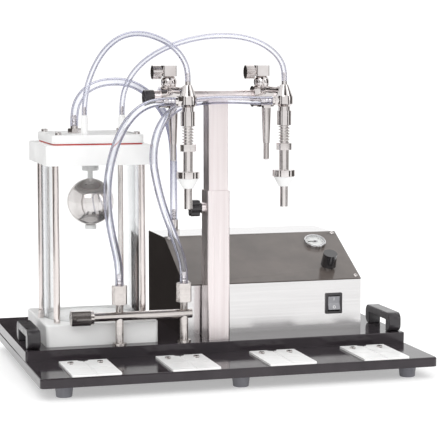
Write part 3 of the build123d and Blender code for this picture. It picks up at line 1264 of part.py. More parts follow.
with BuildPart() as pump_casing:
    with BuildSketch(Plane.YZ.offset(PUMP_MOTOR_LEFT)):
        with Locations(PUMP_PLACE):
            Circle(PUMP_MOTOR_RADIUS)
    extrude(amount=PUMP_MOTOR_RIGHT - PUMP_MOTOR_LEFT)
    with BuildSketch(Plane.YZ.offset(PUMP_MOTOR_RIGHT)):
        with Locations(PUMP_PLACE):
            Circle(PUMP_CHAMBER_RADIUS)
    extrude(amount=PUMP_CHAMBER_RIGHT - PUMP_MOTOR_RIGHT)
    with BuildSketch(Plane.XY.offset(FLOOR_TOP)):
        with Locations(((PUMP_MOTOR_LEFT + PUMP_MOTOR_RIGHT) / 2, PUMP_Y)):
            Rectangle(PUMP_FOOT_LENGTH, PUMP_FOOT_WIDTH)
    extrude(amount=PUMP_FOOT_THICK)
    with BuildSketch(Plane.XY.offset(FLOOR_TOP)):
        with Locations(((PUMP_MOTOR_LEFT + PUMP_MOTOR_RIGHT) / 2, PUMP_Y)):
            Rectangle(PUMP_FOOT_LENGTH / 2, PUMP_FOOT_WIDTH / 2)
    extrude(amount=PUMP_Z - PUMP_CORE_RADIUS - PUMP_WALL - FLOOR_TOP)
    with BuildSketch(Plane.XY.offset(PUMP_Z)):
        with Locations(((PUMP_MOTOR_RIGHT + PUMP_CHAMBER_RIGHT) / 2, PUMP_Y)):
            Circle(PUMP_PORT_RADIUS)
    extrude(amount=PUMP_CHAMBER_RADIUS + PUMP_PORT_HEIGHT)
    with BuildSketch(Plane.YZ.offset(PUMP_MOTOR_LEFT + PUMP_WALL)):
        with Locations(PUMP_PLACE):
            Circle(PUMP_CORE_RADIUS + PUMP_CORE_GAP)
    extrude(amount=PUMP_MOTOR_RIGHT - PUMP_MOTOR_LEFT - 2 * PUMP_WALL, mode=Mode.SUBTRACT)
    with BuildSketch(Plane.YZ.offset(PUMP_MOTOR_RIGHT)):
        with Locations(PUMP_PLACE):
            Circle(PUMP_VANE_RADIUS + PUMP_CORE_GAP)
    extrude(amount=PUMP_CHAMBER_RIGHT - PUMP_MOTOR_RIGHT - PUMP_WALL, mode=Mode.SUBTRACT)
    with BuildSketch(Plane.YZ.offset(PUMP_MOTOR_LEFT)):
        with Locations(PUMP_PLACE):
            Circle(PUMP_SHAFT_RADIUS + RUNNING_GAP)
    extrude(amount=PUMP_MOTOR_RIGHT - PUMP_MOTOR_LEFT, mode=Mode.SUBTRACT)
finish(pump_casing, "pump_casing")

with BuildPart() as pump_rotor:
    fan_left = PUMP_MOTOR_LEFT - PUMP_FAN_THICK - PUMP_CORE_GAP
    vane_left = PUMP_MOTOR_RIGHT + PUMP_CORE_GAP
    vane_right = PUMP_CHAMBER_RIGHT - PUMP_WALL - PUMP_CORE_GAP
    core_left = PUMP_MOTOR_LEFT + PUMP_WALL + PUMP_CORE_GAP
    core_right = PUMP_MOTOR_RIGHT - PUMP_WALL - PUMP_CORE_GAP
    with BuildSketch(Plane.YZ.offset(fan_left)):
        with Locations(PUMP_PLACE):
            Circle(PUMP_SHAFT_RADIUS)
    extrude(amount=vane_right - fan_left)
    with BuildSketch(Plane.YZ.offset(core_left)):
        with Locations(PUMP_PLACE):
            Circle(PUMP_CORE_RADIUS)
    extrude(amount=core_right - core_left)
    with BuildSketch(Plane.YZ.offset(vane_left)):
        with Locations(PUMP_PLACE):
            Circle(PUMP_VANE_RADIUS)
    extrude(amount=vane_right - vane_left)
    with BuildSketch(Plane.YZ.offset(fan_left)):
        with Locations(PUMP_PLACE):
            Circle(2 * PUMP_SHAFT_RADIUS)
            with PolarLocations(PUMP_FAN_RADIUS / 2, PUMP_FAN_BLADES):
                Rectangle(PUMP_FAN_RADIUS, PUMP_BLADE_THICK)
    extrude(amount=PUMP_FAN_THICK)
finish(pump_rotor, "pump_rotor")

# ---------------------------------------------------------------- power inlet
INLET_PLACE = (INLET_X, INLET_Z)

with BuildPart() as power_inlet:
    with BuildSketch(Plane.XZ.offset(-BOX_BACK_Y)):
        with Locations(INLET_PLACE):
            RectangleRounded(INLET_WIDTH, INLET_HEIGHT, INLET_CORNER)
    extrude(amount=-INLET_FLANGE)
    with BuildSketch(Plane.XZ.offset(-BOX_BACK_Y)):
        with Locations(INLET_PLACE):
            Rectangle(INLET_BODY_WIDTH, INLET_BODY_HEIGHT)
    extrude(amount=INLET_BODY_DEPTH)
    with BuildSketch(Plane.XZ.offset(-BOX_BACK_Y - INLET_FLANGE)):
        with Locations(INLET_PLACE):
            Rectangle(
                INLET_BODY_WIDTH - 2 * INLET_WALL_X,
                INLET_BODY_HEIGHT - 2 * INLET_WALL_Z,
            )
    extrude(amount=INLET_RECESS_DEPTH, mode=Mode.SUBTRACT)
    with BuildSketch(Plane.XZ.offset(-BOX_BACK_Y - INLET_FLANGE + INLET_RECESS_DEPTH)):
        with Locations(INLET_PLACE):
            with GridLocations(INLET_PIN_PITCH, 0, 3, 1):
                Circle(INLET_PIN_RADIUS)
    extrude(amount=-INLET_RECESS_DEPTH + INLET_FLANGE)
finish(power_inlet, "power_inlet")

# ---------------------------------------------------------------- hose fitting on the box
FITTING_TOP = BOX_TOP + FITTING_HEIGHT
FITTING_BOTTOM = BOX_TOP - SHEET - FITTING_NUT_THICK

with BuildPart() as box_hose_fitting:
    with BuildSketch(Plane.XY.offset(BOX_TOP)):
        with Locations(FITTING_PLACE):
            RegularPolygon(FITTING_NUT_RADIUS, 6)
    extrude(amount=FITTING_NUT_THICK)
    with BuildSketch(Plane.XY.offset(BOX_TOP)):
        with Locations(FITTING_PLACE):
            Circle(FITTING_RADIUS)
    extrude(amount=FITTING_HEIGHT)
    with BuildSketch(Plane.XY.offset(FITTING_BOTTOM)):
        with Locations(FITTING_PLACE):
            Circle(FITTING_THREAD_RADIUS)
    extrude(amount=BOX_TOP - FITTING_BOTTOM)
    with BuildSketch(Plane.XY.offset(FITTING_BOTTOM)):
        with Locations(FITTING_PLACE):
            Circle(FITTING_BORE)
    extrude(amount=FITTING_TOP - FITTING_BOTTOM, mode=Mode.SUBTRACT)
finish(box_hose_fitting, "box_hose_fitting")

# ---------------------------------------------------------------- hoses
# Each route runs from one fitting's face to the other's, with straight axial ends.
ROUTES = {
    "return_hose_left": (
        THIN_HOSE_RADIUS,
        [
            (-198, -34, 392),
            (-198, -34, 412),
            (-192, -42, 448),
            (-177, -60, 485),
            (-155, -84, 509),
            (-129, -108, 515),
            (-103, -135, 505),
            (-86, -154, 490),
            (-77, -164, 474),
            (-73, -168, 458),
            (-73, -168, 444),
        ],
    ),
    "return_hose_right": (
        THIN_HOSE_RADIUS,
        [
            (-139, -28, 392),
            (-139, -28, 414),
            (-133, -32, 438),
            (-120, -42, 462),
            (-98, -64, 484),
            (-66, -94, 501),
            (-28, -116, 510),
            (10, -134, 510),
            (38, -151, 502),
            (58, -161, 488),
            (69, -166, 473),
            (73, -168, 458),
            (73, -168, 444),
        ],
    ),
    "product_hose_left": (
        THICK_HOSE_RADIUS,
        [
            (-92, -168, 416),
            (-115, -168, 416),
            (-138, -163, 409),
            (-156, -153, 391),
            (-169, -143, 366),
            (-178, -132, 334),
            (-182, -121, 298),
            (-180, -110, 260),
            (-172, -97, 223),
            (-162, -85, 189),
            (-156, -78, 164),
            (-156, -78, 139),
        ],
    ),
    "product_hose_right": (
        THICK_HOSE_RADIUS,
        [
            (54, -168, 416),
            (30, -168, 416),
            (4, -160, 417),
            (-24, -144, 417),
            (-50, -126, 414),
            (-74, -112, 406),
            (-92, -104, 389),
            (-104, -101, 364),
            (-109, -99, 330),
            (-102, -96, 292),
            (-90, -91, 252),
            (-75, -86, 216),
            (-63, -81, 186),
            (-56, -78, 163),
            (-56, -78, 139),
        ],
    ),
    "vacuum_hose": (
        THICK_HOSE_RADIUS,
        [
            (-204, 16, 374),
            (-204, 16, 393),
            (-199, 13, 413),
            (-187, 8, 429),
            (-168, 3, 439),
            (-145, 0, 442),
            (-122, 3, 440),
            (-100, 11, 431),
            (-80, 24, 417),
            (-57, 44, 395),
            (-39, 70, 368),
            (-27, 98, 336),
            (-19, 126, 298),
            (-15, 143, 262),
            (-13, 150, 234),
            (-13, 150, 211),
        ],
    ),
}


def corner_radii(points):
    """The largest arc that each corner's two runs allow."""
    radii = []
    for before, corner, after in zip(points, points[1:], points[2:]):
        first = Vector(*corner) - Vector(*before)
        second = Vector(*after) - Vector(*corner)
        turn = radians(first.get_angle(second))
        shorter = min(first.length, second.length)
        radii.append(RUN_SHARE * shorter / tan(turn / 2))
    return radii


for hose_name, (hose_radius, route) in ROUTES.items():
    radii = corner_radii(route)
    with BuildPart() as hose:
        with BuildLine() as centre:
            FilletPolyline(*route, radius=radii)
        path = centre.wire()
        with BuildSketch(Plane(origin=path @ 0, z_dir=path % 0)):
            Circle(hose_radius)
        sweep(path=path)
    expected = pi * hose_radius**2 * path.length
    print(hose_name, "length", round(path.length, 1), "radii", [round(r) for r in radii])
    print("   volume over section x length", round(hose.part.volume / expected, 4))
    finish(hose, hose_name)
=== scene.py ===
"""Looks for the two-nozzle bench-top liquid filler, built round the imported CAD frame.

Metres, +Z up, the CAD's own frame.  Order: camera, hoses, small detail pieces, materials,
then floor and light.
"""
import json
from math import cos, pi, radians, sin, tau

import bmesh
import bpy
from mathutils import Matrix, Vector


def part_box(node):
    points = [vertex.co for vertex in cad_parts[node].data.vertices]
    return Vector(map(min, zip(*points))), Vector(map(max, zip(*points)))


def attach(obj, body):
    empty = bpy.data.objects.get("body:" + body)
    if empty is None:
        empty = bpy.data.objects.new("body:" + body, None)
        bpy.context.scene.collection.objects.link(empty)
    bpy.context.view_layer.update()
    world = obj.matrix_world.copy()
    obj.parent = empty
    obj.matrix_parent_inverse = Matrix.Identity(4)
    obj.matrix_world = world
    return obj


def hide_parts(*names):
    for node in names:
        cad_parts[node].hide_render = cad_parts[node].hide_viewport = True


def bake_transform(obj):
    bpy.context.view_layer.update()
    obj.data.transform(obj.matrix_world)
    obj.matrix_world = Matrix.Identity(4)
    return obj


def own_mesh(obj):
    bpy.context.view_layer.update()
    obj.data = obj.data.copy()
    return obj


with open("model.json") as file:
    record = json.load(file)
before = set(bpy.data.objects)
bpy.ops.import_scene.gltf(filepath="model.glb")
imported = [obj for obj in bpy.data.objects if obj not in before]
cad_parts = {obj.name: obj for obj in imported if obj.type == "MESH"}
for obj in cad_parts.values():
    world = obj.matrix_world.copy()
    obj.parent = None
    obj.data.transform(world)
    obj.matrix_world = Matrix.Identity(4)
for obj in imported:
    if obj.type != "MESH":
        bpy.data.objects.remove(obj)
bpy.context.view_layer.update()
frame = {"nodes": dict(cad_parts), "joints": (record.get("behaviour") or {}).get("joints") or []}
nodes = frame["nodes"]
joints = {joint["name"]: joint for joint in frame["joints"]}
scene = bpy.context.scene

X = Vector((1, 0, 0))
Y = Vector((0, 1, 0))
Z = Vector((0, 0, 1))
SIDES = ("left", "right")
MM = 0.001

# ---------------------------------------------------------------- camera
CAMERA_PLACE = (-0.6658, -2.3985, 0.4857)
CAMERA_YAW = radians(-16.03)
CAMERA_PITCH = radians(-5.98)
FOCAL_LENGTH = 130.9
SENSOR_WIDTH = 36.0

camera_data = bpy.data.cameras.new("camera")
camera_data.lens = FOCAL_LENGTH
camera_data.sensor_width = SENSOR_WIDTH
camera_data.clip_end = 20.0
camera = bpy.data.objects.new("camera", camera_data)
camera.location = CAMERA_PLACE
camera.rotation_euler = (pi / 2 + CAMERA_PITCH, 0, CAMERA_YAW)
scene.collection.objects.link(camera)
scene.camera = camera


# ---------------------------------------------------------------- mesh helpers
def across(axis):
    """Two unit vectors square to axis and to each other."""
    side = axis.cross(Z if abs(axis.z) < 0.9 else X).normalized()
    return side, axis.cross(side).normalized()


def circle(centre, axis, radius, count, turn=0.0):
    """Points round a circle."""
    u, v = across(axis)
    angles = [turn + tau * k / count for k in range(count)]
    return [centre + radius * (cos(a) * u + sin(a) * v) for a in angles]


def hexagon(centre, axis, apothem, count):
    """Points round a hexagon, as many as the circle they are bridged to."""
    u, v = across(axis)
    points = []
    for k in range(count):
        angle = tau * k / count
        within = (angle + pi / 6) % (pi / 3) - pi / 6
        radius = apothem / cos(within)
        points.append(centre + radius * (cos(angle) * u + sin(angle) * v))
    return points


def new_object(name, bm, smooth_angle=35.0):
    """Finish a bmesh as a shown object with smooth curves and crisp edges."""
    bmesh.ops.recalc_face_normals(bm, faces=bm.faces)
    mesh = bpy.data.meshes.new(name)
    bm.to_mesh(mesh)
    bm.free()
    mesh.shade_smooth()
    mesh.set_sharp_from_angle(angle=radians(smooth_angle))
    made = bpy.data.objects.new(name, mesh)
    scene.collection.objects.link(made)
    return made


def add_rings(bm, rings, closed=False):
    """Bridge rings of points in order; closed joins the last to the first, else both ends cap."""
    made = [[bm.verts.new(point) for point in ring] for ring in rings]
    pairs = list(zip(made, made[1:]))
    if closed:
        pairs.append((made[-1], made[0]))
    for low, high in pairs:
        for k, vert in enumerate(low):
            after = (k + 1) % len(low)
            bm.faces.new((vert, low[after], high[after], high[k]))
    if not closed:
        bm.faces.new(made[0])
        bm.faces.new(made[-1])


def add_lathe(bm, centre, axis, profile, count=40, bored=False):
    """Turn (radius, height) pairs about an axis; bored joins the last pair to the first."""
    rings = [circle(centre + height * axis, axis, radius, count) for radius, height in profile]
    add_rings(bm, rings, closed=bored)


def add_box(bm, centre, sizes, turn=Matrix.Identity(3)):
    """A small block with its own axes."""
    corners = []
    for dx in (-0.5, 0.5):
        for dy in (-0.5, 0.5):
            for dz in (-0.5, 0.5):
                offset = Vector((dx * sizes[0], dy * sizes[1], dz * sizes[2]))
                corners.append(bm.verts.new(centre + turn @ offset))
    for face in ((0, 1, 3, 2), (4, 6, 7, 5), (0, 4, 5, 1), (2, 3, 7, 6), (0, 2, 6, 4), (1, 5, 7, 3)):
        bm.faces.new([corners[k] for k in face])


# ---------------------------------------------------------------- hoses
THICK_HOSE = (6.0 * MM, 4.2 * MM)
THIN_HOSE = (4.0 * MM, 2.6 * MM)
HOSE_SIDES = 28

HOSES = {
    "return_hose_left": {
        "size": THIN_HOSE,
        "length": 0.295,
        "route": [
            (-198, -34, 392),
            (-198, -34, 412),
            (-192, -42, 448),
            (-177, -60, 485),
            (-155, -84, 509),
            (-129, -108, 515),
            (-103, -135, 505),
            (-86, -154, 490),
            (-77, -164, 474),
            (-73, -168, 458),
            (-73, -168, 444),
        ],
        "blend": ((-198, -34, 0), (-73, -168, 0)),
    },
    "return_hose_right": {
        "size": THIN_HOSE,
        "length": 0.355,
        "route": [
            (-139, -28, 392),
            (-139, -28, 414),
            (-133, -32, 438),
            (-120, -42, 462),
            (-98, -64, 484),
            (-66, -94, 501),
            (-28, -116, 510),
            (10, -134, 510),
            (38, -151, 502),
            (58, -161, 488),
            (69, -166, 473),
            (73, -168, 458),
            (73, -168, 444),
        ],
        "blend": ((-139, -28, 0), (73, -168, 0)),
    },
    "product_hose_left": {
        "size": THICK_HOSE,
        "length": 0.345,
        "route": [
            (-92, -168, 416),
            (-115, -168, 416),
            (-138, -163, 409),
            (-156, -153, 391),
            (-169, -143, 366),
            (-178, -132, 334),
            (-182, -121, 298),
            (-180, -110, 260),
            (-172, -97, 223),
            (-162, -85, 189),
            (-156, -78, 164),
            (-156, -78, 139),
        ],
        "blend": ((0, 0, 164), (0, 0, 391)),
    },
    "product_hose_right": {
        "size": THICK_HOSE,
        "length": 0.432,
        "route": [
            (54, -168, 416),
            (30, -168, 416),
            (4, -160, 417),
            (-24, -144, 417),
            (-50, -126, 414),
            (-74, -112, 406),
            (-92, -104, 389),
            (-104, -101, 364),
            (-109, -99, 330),
            (-102, -96, 292),
            (-90, -91, 252),
            (-75, -86, 216),
            (-63, -81, 186),
            (-56, -78, 163),
            (-56, -78, 139),
        ],
        "blend": ((0, 0, 164), (0, 0, 391)),
    },
    "vacuum_hose": {
        "size": THICK_HOSE,
        "length": 0.443,
        "route": [
            (-204, 16, 374),
            (-204, 16, 393),
            (-199, 13, 413),
            (-187, 8, 429),
            (-168, 3, 439),
            (-145, 0, 442),
            (-122, 3, 440),
            (-100, 11, 431),
            (-80, 24, 417),
            (-57, 44, 395),
            (-39, 70, 368),
            (-27, 98, 336),
            (-19, 126, 298),
            (-15, 143, 262),
            (-13, 150, 234),
            (-13, 150, 211),
        ],
        "blend": None,
    },
}


def spline_points(route):
    """Points along the smooth line that a route's NURBS spline makes."""
    data = bpy.data.curves.new("route", "CURVE")
    data.dimensions = "3D"
    data.resolution_u = 10
    spline = data.splines.new("NURBS")
    spline.points.add(len(route) - 1)
    for point, place in zip(spline.points, route):
        point.co = (*(MM * Vector(place)), 1.0)
    spline.order_u = 3
    spline.use_endpoint_u = True
    holder = bpy.data.objects.new("route", data)
    line = bpy.data.meshes.new_from_object(holder)
    points = [vertex.co.copy() for vertex in line.vertices]
    bpy.data.objects.remove(holder)
    bpy.data.curves.remove(data)
    bpy.data.meshes.remove(line)
    return points


def tube_frames(points):
    """Each point of a line with two side vectors carried along it without twist."""
    frames = []
    side = across((points[1] - points[0]).normalized())[0]
    for k, point in enumerate(points):
        along = (points[min(k + 1, len(points) - 1)] - points[max(k - 1, 0)]).normalized()
        side = (side - side.dot(along) * along).normalized()
        frames.append((point, side, along.cross(side)))
    return frames


def hose_mesh(name, points, radius, bore):
    """A tube with a real wall, open at both ends."""
    frames = tube_frames(points)
    angles = [tau * k / HOSE_SIDES for k in range(HOSE_SIDES)]

    def ring(place, size):
        point, side, up = place
        return [point + size * (cos(a) * side + sin(a) * up) for a in angles]

    rings = [ring(place, radius) for place in frames]
    rings += [ring(place, bore) for place in reversed(frames)]
    bm = bmesh.new()
    add_rings(bm, rings, closed=True)
    return new_object(name, bm, smooth_angle=60.0)


hose_pieces = []
for name, hose in HOSES.items():
    line = spline_points(hose["route"])
    radius, bore = hose["size"]
    piece = hose_mesh(f"{name}_wall", line, radius, bore)
    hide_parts(name)
    if hose["blend"]:
        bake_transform(piece)
    else:
        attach(piece, "base")
    hose_pieces.append(piece)

# ---------------------------------------------------------------- hose barbs
THICK_BARB = [(2.0, 0), (3.3, 0), (4.1, 3), (3.3, 5), (4.1, 8), (3.3, 10), (4.1, 13), (3.0, 17), (2.0, 17)]
THIN_BARB = [
    (1.2, 0),
    (2.0, 0),
    (2.5, 2.5),
    (2.0, 4),
    (2.5, 6.5),
    (2.0, 8),
    (2.5, 10.5),
    (1.8, 13),
    (1.2, 13),
]


def hose_barb(name, place, axis, profile, body):
    """The ribbed stem that a hose is pushed over."""
    bm = bmesh.new()
    scaled = [(MM * radius, MM * height) for radius, height in profile]
    add_lathe(bm, MM * Vector(place), axis, scaled, bored=True)
    piece = new_object(name, bm)
    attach(piece, body)
    return piece


barbs = [
    hose_barb("barb_vacuum_lid", (-204, 16, 374), Z, THICK_BARB, "base"),
    hose_barb("barb_vacuum_box", (-13, 150, 211), Z, THICK_BARB, "base"),
    hose_barb("barb_tail_left", (-156, -78, 139), Z, THICK_BARB, "base"),
    hose_barb("barb_tail_right", (-56, -78, 139), Z, THICK_BARB, "base"),
    hose_barb("barb_port_left", (-92, -168, 416), -X, THICK_BARB, "head"),
    hose_barb("barb_port_right", (54, -168, 416), -X, THICK_BARB, "head"),
    hose_barb("barb_return_left", (-198, -34, 392), Z, THIN_BARB, "base"),
    hose_barb("barb_return_right", (-139, -28, 392), Z, THIN_BARB, "base"),
    hose_barb("barb_nozzle_left", (-73, -168, 444), Z, THIN_BARB, "head"),
    hose_barb("barb_nozzle_right", (73, -168, 444), Z, THIN_BARB, "head"),
]

# ---------------------------------------------------------------- crossbar end caps
CAP_PROFILE = [
    (10.05, 13.0),
    (10.9, 12.4),
    (11.2, 11.6),
    (11.2, -1.4),
    (10.4, -2.4),
    (3.0, -2.6),
    (2.4, -1.8),
    (0.05, -1.8),
]


CROSSBAR_RADIUS = 10.0


def end_cap(name, sign):
    """A black cap pushed over one end of the crossbar."""
    low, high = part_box("head_post")
    end_x = low.x if sign < 0 else high.x
    centre = Vector((end_x, (low.y + high.y) / 2, high.z - CROSSBAR_RADIUS * MM))
    bm = bmesh.new()
    rings = [circle(centre - sign * MM * h * X, X, MM * r, 40) for r, h in CAP_PROFILE]
    add_rings(bm, rings)
    piece = new_object(name, bm)
    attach(piece, "head")
    return piece


end_caps = [end_cap("crossbar_cap_left", -1), end_cap("crossbar_cap_right", 1)]

# ---------------------------------------------------------------- nozzle springs
SPRING_WIRE = 0.8
SPRING_PITCH = 4.2
SPRING_STEPS = 32
SPRING_WIRE_SIDES = 12


def nozzle_spring(side):
    """A coil of round wire in place of the CAD spring; the real spring shortens against the nozzle body as
    its sleeve lifts, but this coil keeps its length.
    """
    low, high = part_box(f"nozzle_spring_{side}")
    centre = (low + high) / 2
    coil = (high.x - low.x) / 2 - SPRING_WIRE * MM
    start, rise = low.z + SPRING_WIRE * MM, high.z - low.z - 2 * SPRING_WIRE * MM
    turns = rise / (SPRING_PITCH * MM)
    steps = round(SPRING_STEPS * turns)
    rings = []
    for k in range(steps + 1):
        angle = tau * turns * k / steps
        out = cos(angle) * X + sin(angle) * Y
        point = Vector((centre.x, centre.y, start + rise * k / steps)) + coil * out
        sides = [tau * j / SPRING_WIRE_SIDES for j in range(SPRING_WIRE_SIDES)]
        rings.append([point + SPRING_WIRE * MM * (cos(a) * out + sin(a) * Z) for a in sides])
    bm = bmesh.new()
    add_rings(bm, rings)
    piece = new_object(f"spring_coil_{side}", bm)
    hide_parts(f"nozzle_spring_{side}")
    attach(piece, "head")
    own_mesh(piece)
    return piece


spring_coils = [nozzle_spring(side) for side in SIDES]

# ---------------------------------------------------------------- socket screws
SCREW_SIDES = 36


def socket_screw(bm, top, axis, head_radius, head_height, apothem, depth):
    """A cap screw's head with a rounded rim and a hexagon socket."""
    edge = 0.12 * head_radius
    rings = [
        circle(top - head_height * axis, axis, head_radius, SCREW_SIDES),
        circle(top - edge * axis, axis, head_radius, SCREW_SIDES),
        circle(top, axis, head_radius - edge, SCREW_SIDES),
        hexagon(top, axis, apothem, SCREW_SIDES),
        hexagon(top - depth * axis, axis, apothem * 0.94, SCREW_SIDES),
    ]
    add_rings(bm, rings)


def islands(node):
    """Each separate solid of a CAD node: its lowest corner, highest corner and points."""
    bm = bmesh.new()
    bm.from_mesh(nodes[node].data)
    bmesh.ops.remove_doubles(bm, verts=bm.verts, dist=1e-6)
    bm.verts.index_update()
    seen = set()
    boxes = []
    for vert in bm.verts:
        if vert.index in seen:
            continue
        stack, members = [vert], []
        seen.add(vert.index)
        while stack:
            here = stack.pop()
            members.append(here.co.copy())
            for edge in here.link_edges:
                other = edge.other_vert(here)
                if other.index not in seen:
                    seen.add(other.index)
                    stack.append(other)
        low = Vector([min(p[k] for p in members) for k in range(3)])
        high = Vector([max(p[k] for p in members) for k in range(3)])
        boxes.append((low, high, members))
    bm.free()
    return boxes


def upright_screws(name, node, head_radius, head_height, apothem, depth):
    """Socket screws in place of a node of upright CAD screws."""
    bm = bmesh.new()
    for low, high, _ in islands(node):
        top = Vector(((low.x + high.x) / 2, (low.y + high.y) / 2, high.z))
        socket_screw(bm, top, Z, MM * head_radius, MM * head_height, MM * apothem, MM * depth)
        shank = 0.55 * MM * head_radius
        add_lathe(
            bm,
            Vector((top.x, top.y, low.z)),
            Z,
            [(shank, 0), (shank, high.z - low.z - 0.9 * MM * head_height)],
            count=20,
        )
    piece = new_object(name, bm, smooth_angle=30.0)
    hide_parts(node)
    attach(piece, "base")
    return piece


screw_pieces = [
    upright_screws("lid_socket_screws", "lid_screws", 5.0, 4.0, 2.5, 2.2),
    upright_screws("nest_socket_screws", "nest_screws", 4.6, 3.0, 2.2, 1.7),
]

panel_normal = Vector(joints["gauge_needle_turn"]["axis"]).normalized()
panel_up = panel_normal.cross(X).normalized()


def panel_screw_heads():
    """Domed heads at the corners of the sloped panel, with thin black bars on top as painted shade for their
    cross slots.
    """
    bm = bmesh.new()
    slot_turn = Matrix((X, panel_up, panel_normal)).transposed()
    marks = bmesh.new()
    for _, _, members in islands("panel_screws"):
        crown = max(point.dot(panel_normal) for point in members)
        foot = min(point.dot(panel_normal) for point in members)
        middle = sum(members, Vector()) / len(members)
        middle += (crown - middle.dot(panel_normal)) * panel_normal
        profile = [(1.9, 1.6), (3.6, 1.6), (3.6, 0.9), (3.0, 0.25), (1.8, 0.0), (0.05, 0.0)]
        rings = [circle(middle - MM * h * panel_normal, panel_normal, MM * r, 36) for r, h in profile]
        stem = circle(middle - (crown - foot) * panel_normal, panel_normal, 1.9 * MM, 36)
        add_rings(bm, [stem, *rings])
        # Painted shade: each cross slot is a thin black bar laid on the head in place of a recess.
        for sizes in ((3.2, 0.7, 0.12), (0.7, 3.2, 0.12)):
            add_box(marks, middle + 0.02 * MM * panel_normal, MM * Vector(sizes), slot_turn)
    heads = new_object("panel_screw_heads", bm, smooth_angle=30.0)
    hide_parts("panel_screws")
    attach(heads, "base")
    cross = new_object("panel_screw_slot_shade", marks)
    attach(cross, "base")
    return heads, cross


panel_heads, panel_slot_shade = panel_screw_heads()

# ---------------------------------------------------------------- gauge face
NEEDLE_ABOVE_DIAL = 1.2 * MM
DIAL_RADIUS = 15.4 * MM
GLASS_LIFT = 1.7 * MM
DIAL_START = 225.0
DIAL_SWEEP = 270.0
DIAL_STEPS = 30

needle_centre = Vector(joints["gauge_needle_turn"]["pos_m"])
dial_centre = needle_centre - NEEDLE_ABOVE_DIAL * panel_normal


def gauge_dial():
    """White dial, printed scale and lens of the vacuum gauge."""
    bm = bmesh.new()
    rings = [
        circle(dial_centre, panel_normal, DIAL_RADIUS, 64),
        circle(dial_centre + 0.2 * MM * panel_normal, panel_normal, DIAL_RADIUS, 64),
    ]
    add_rings(bm, rings)
    dial = new_object("gauge_dial", bm)
    marks = bmesh.new()
    for step in range(DIAL_STEPS + 1):
        angle = radians(DIAL_START - DIAL_SWEEP * step / DIAL_STEPS)
        out = cos(angle) * X + sin(angle) * panel_up
        major = step % 5 == 0
        length = (3.2 if major else 1.8) * MM
        width = (0.55 if major else 0.28) * MM
        turn = Matrix((out, panel_normal.cross(out), panel_normal)).transposed()
        middle = dial_centre + (13.6 * MM - length / 2) * out + 0.25 * MM * panel_normal
        add_box(marks, middle, (length, width, 0.1 * MM), turn)
    scale = new_object("gauge_scale", marks)
    lens = bmesh.new()
    middle = needle_centre + GLASS_LIFT * panel_normal
    add_rings(
        lens,
        [
            circle(middle, panel_normal, DIAL_RADIUS, 64),
            circle(middle + 0.8 * MM * panel_normal, panel_normal, DIAL_RADIUS, 64),
            circle(middle + 1.05 * MM * panel_normal, panel_normal, 0.6 * DIAL_RADIUS, 64),
        ],
    )
    glass = new_object("gauge_lens", lens)
    for piece, slot in ((dial, "white_plastic"), (scale, "black_plastic"), (glass, "clear_tube")):
        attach(piece, "base")
    return dial, scale, glass


dial, dial_scale, lens = gauge_dial()


# ---------------------------------------------------------------- rocker marks
ROCKER_TILT = radians(-7.0)


def rocker_marks():
    """A raised bar and ring on the rocker's two halves."""
    pivot = Vector(joints["switch_rock"]["pos_m"])
    tilt = Matrix.Rotation(ROCKER_TILT, 3, "X")
    bm = bmesh.new()
    for sign, height in ((1, 6.4), (-1, -6.2)):
        slope = Vector((0, -2.5, sign * 10.5)).normalized()
        out = Vector((0, -10.5, -sign * 2.5)).normalized()
        depth = 3.0 + 2.5 * abs(height) / 10.5
        place = Vector((0, -depth * MM, height * MM)) + 0.04 * MM * out
        if sign > 0:
            turn = tilt @ Matrix((X, slope, out)).transposed()
            add_box(bm, pivot + tilt @ place, (1.0 * MM, 4.6 * MM, 0.2 * MM), turn)
        else:
            centre = pivot + tilt @ place
            axis = tilt @ out
            rings = [
                circle(centre + h * MM * axis, axis, r * MM, 32)
                for r, h in ((1.6, -0.1), (2.4, -0.1), (2.4, 0.1), (1.6, 0.1))
            ]
            add_rings(bm, rings, closed=True)
    piece = new_object("rocker_marks", bm)
    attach(piece, "rocker")
    return piece


marks_on_rocker = rocker_marks()


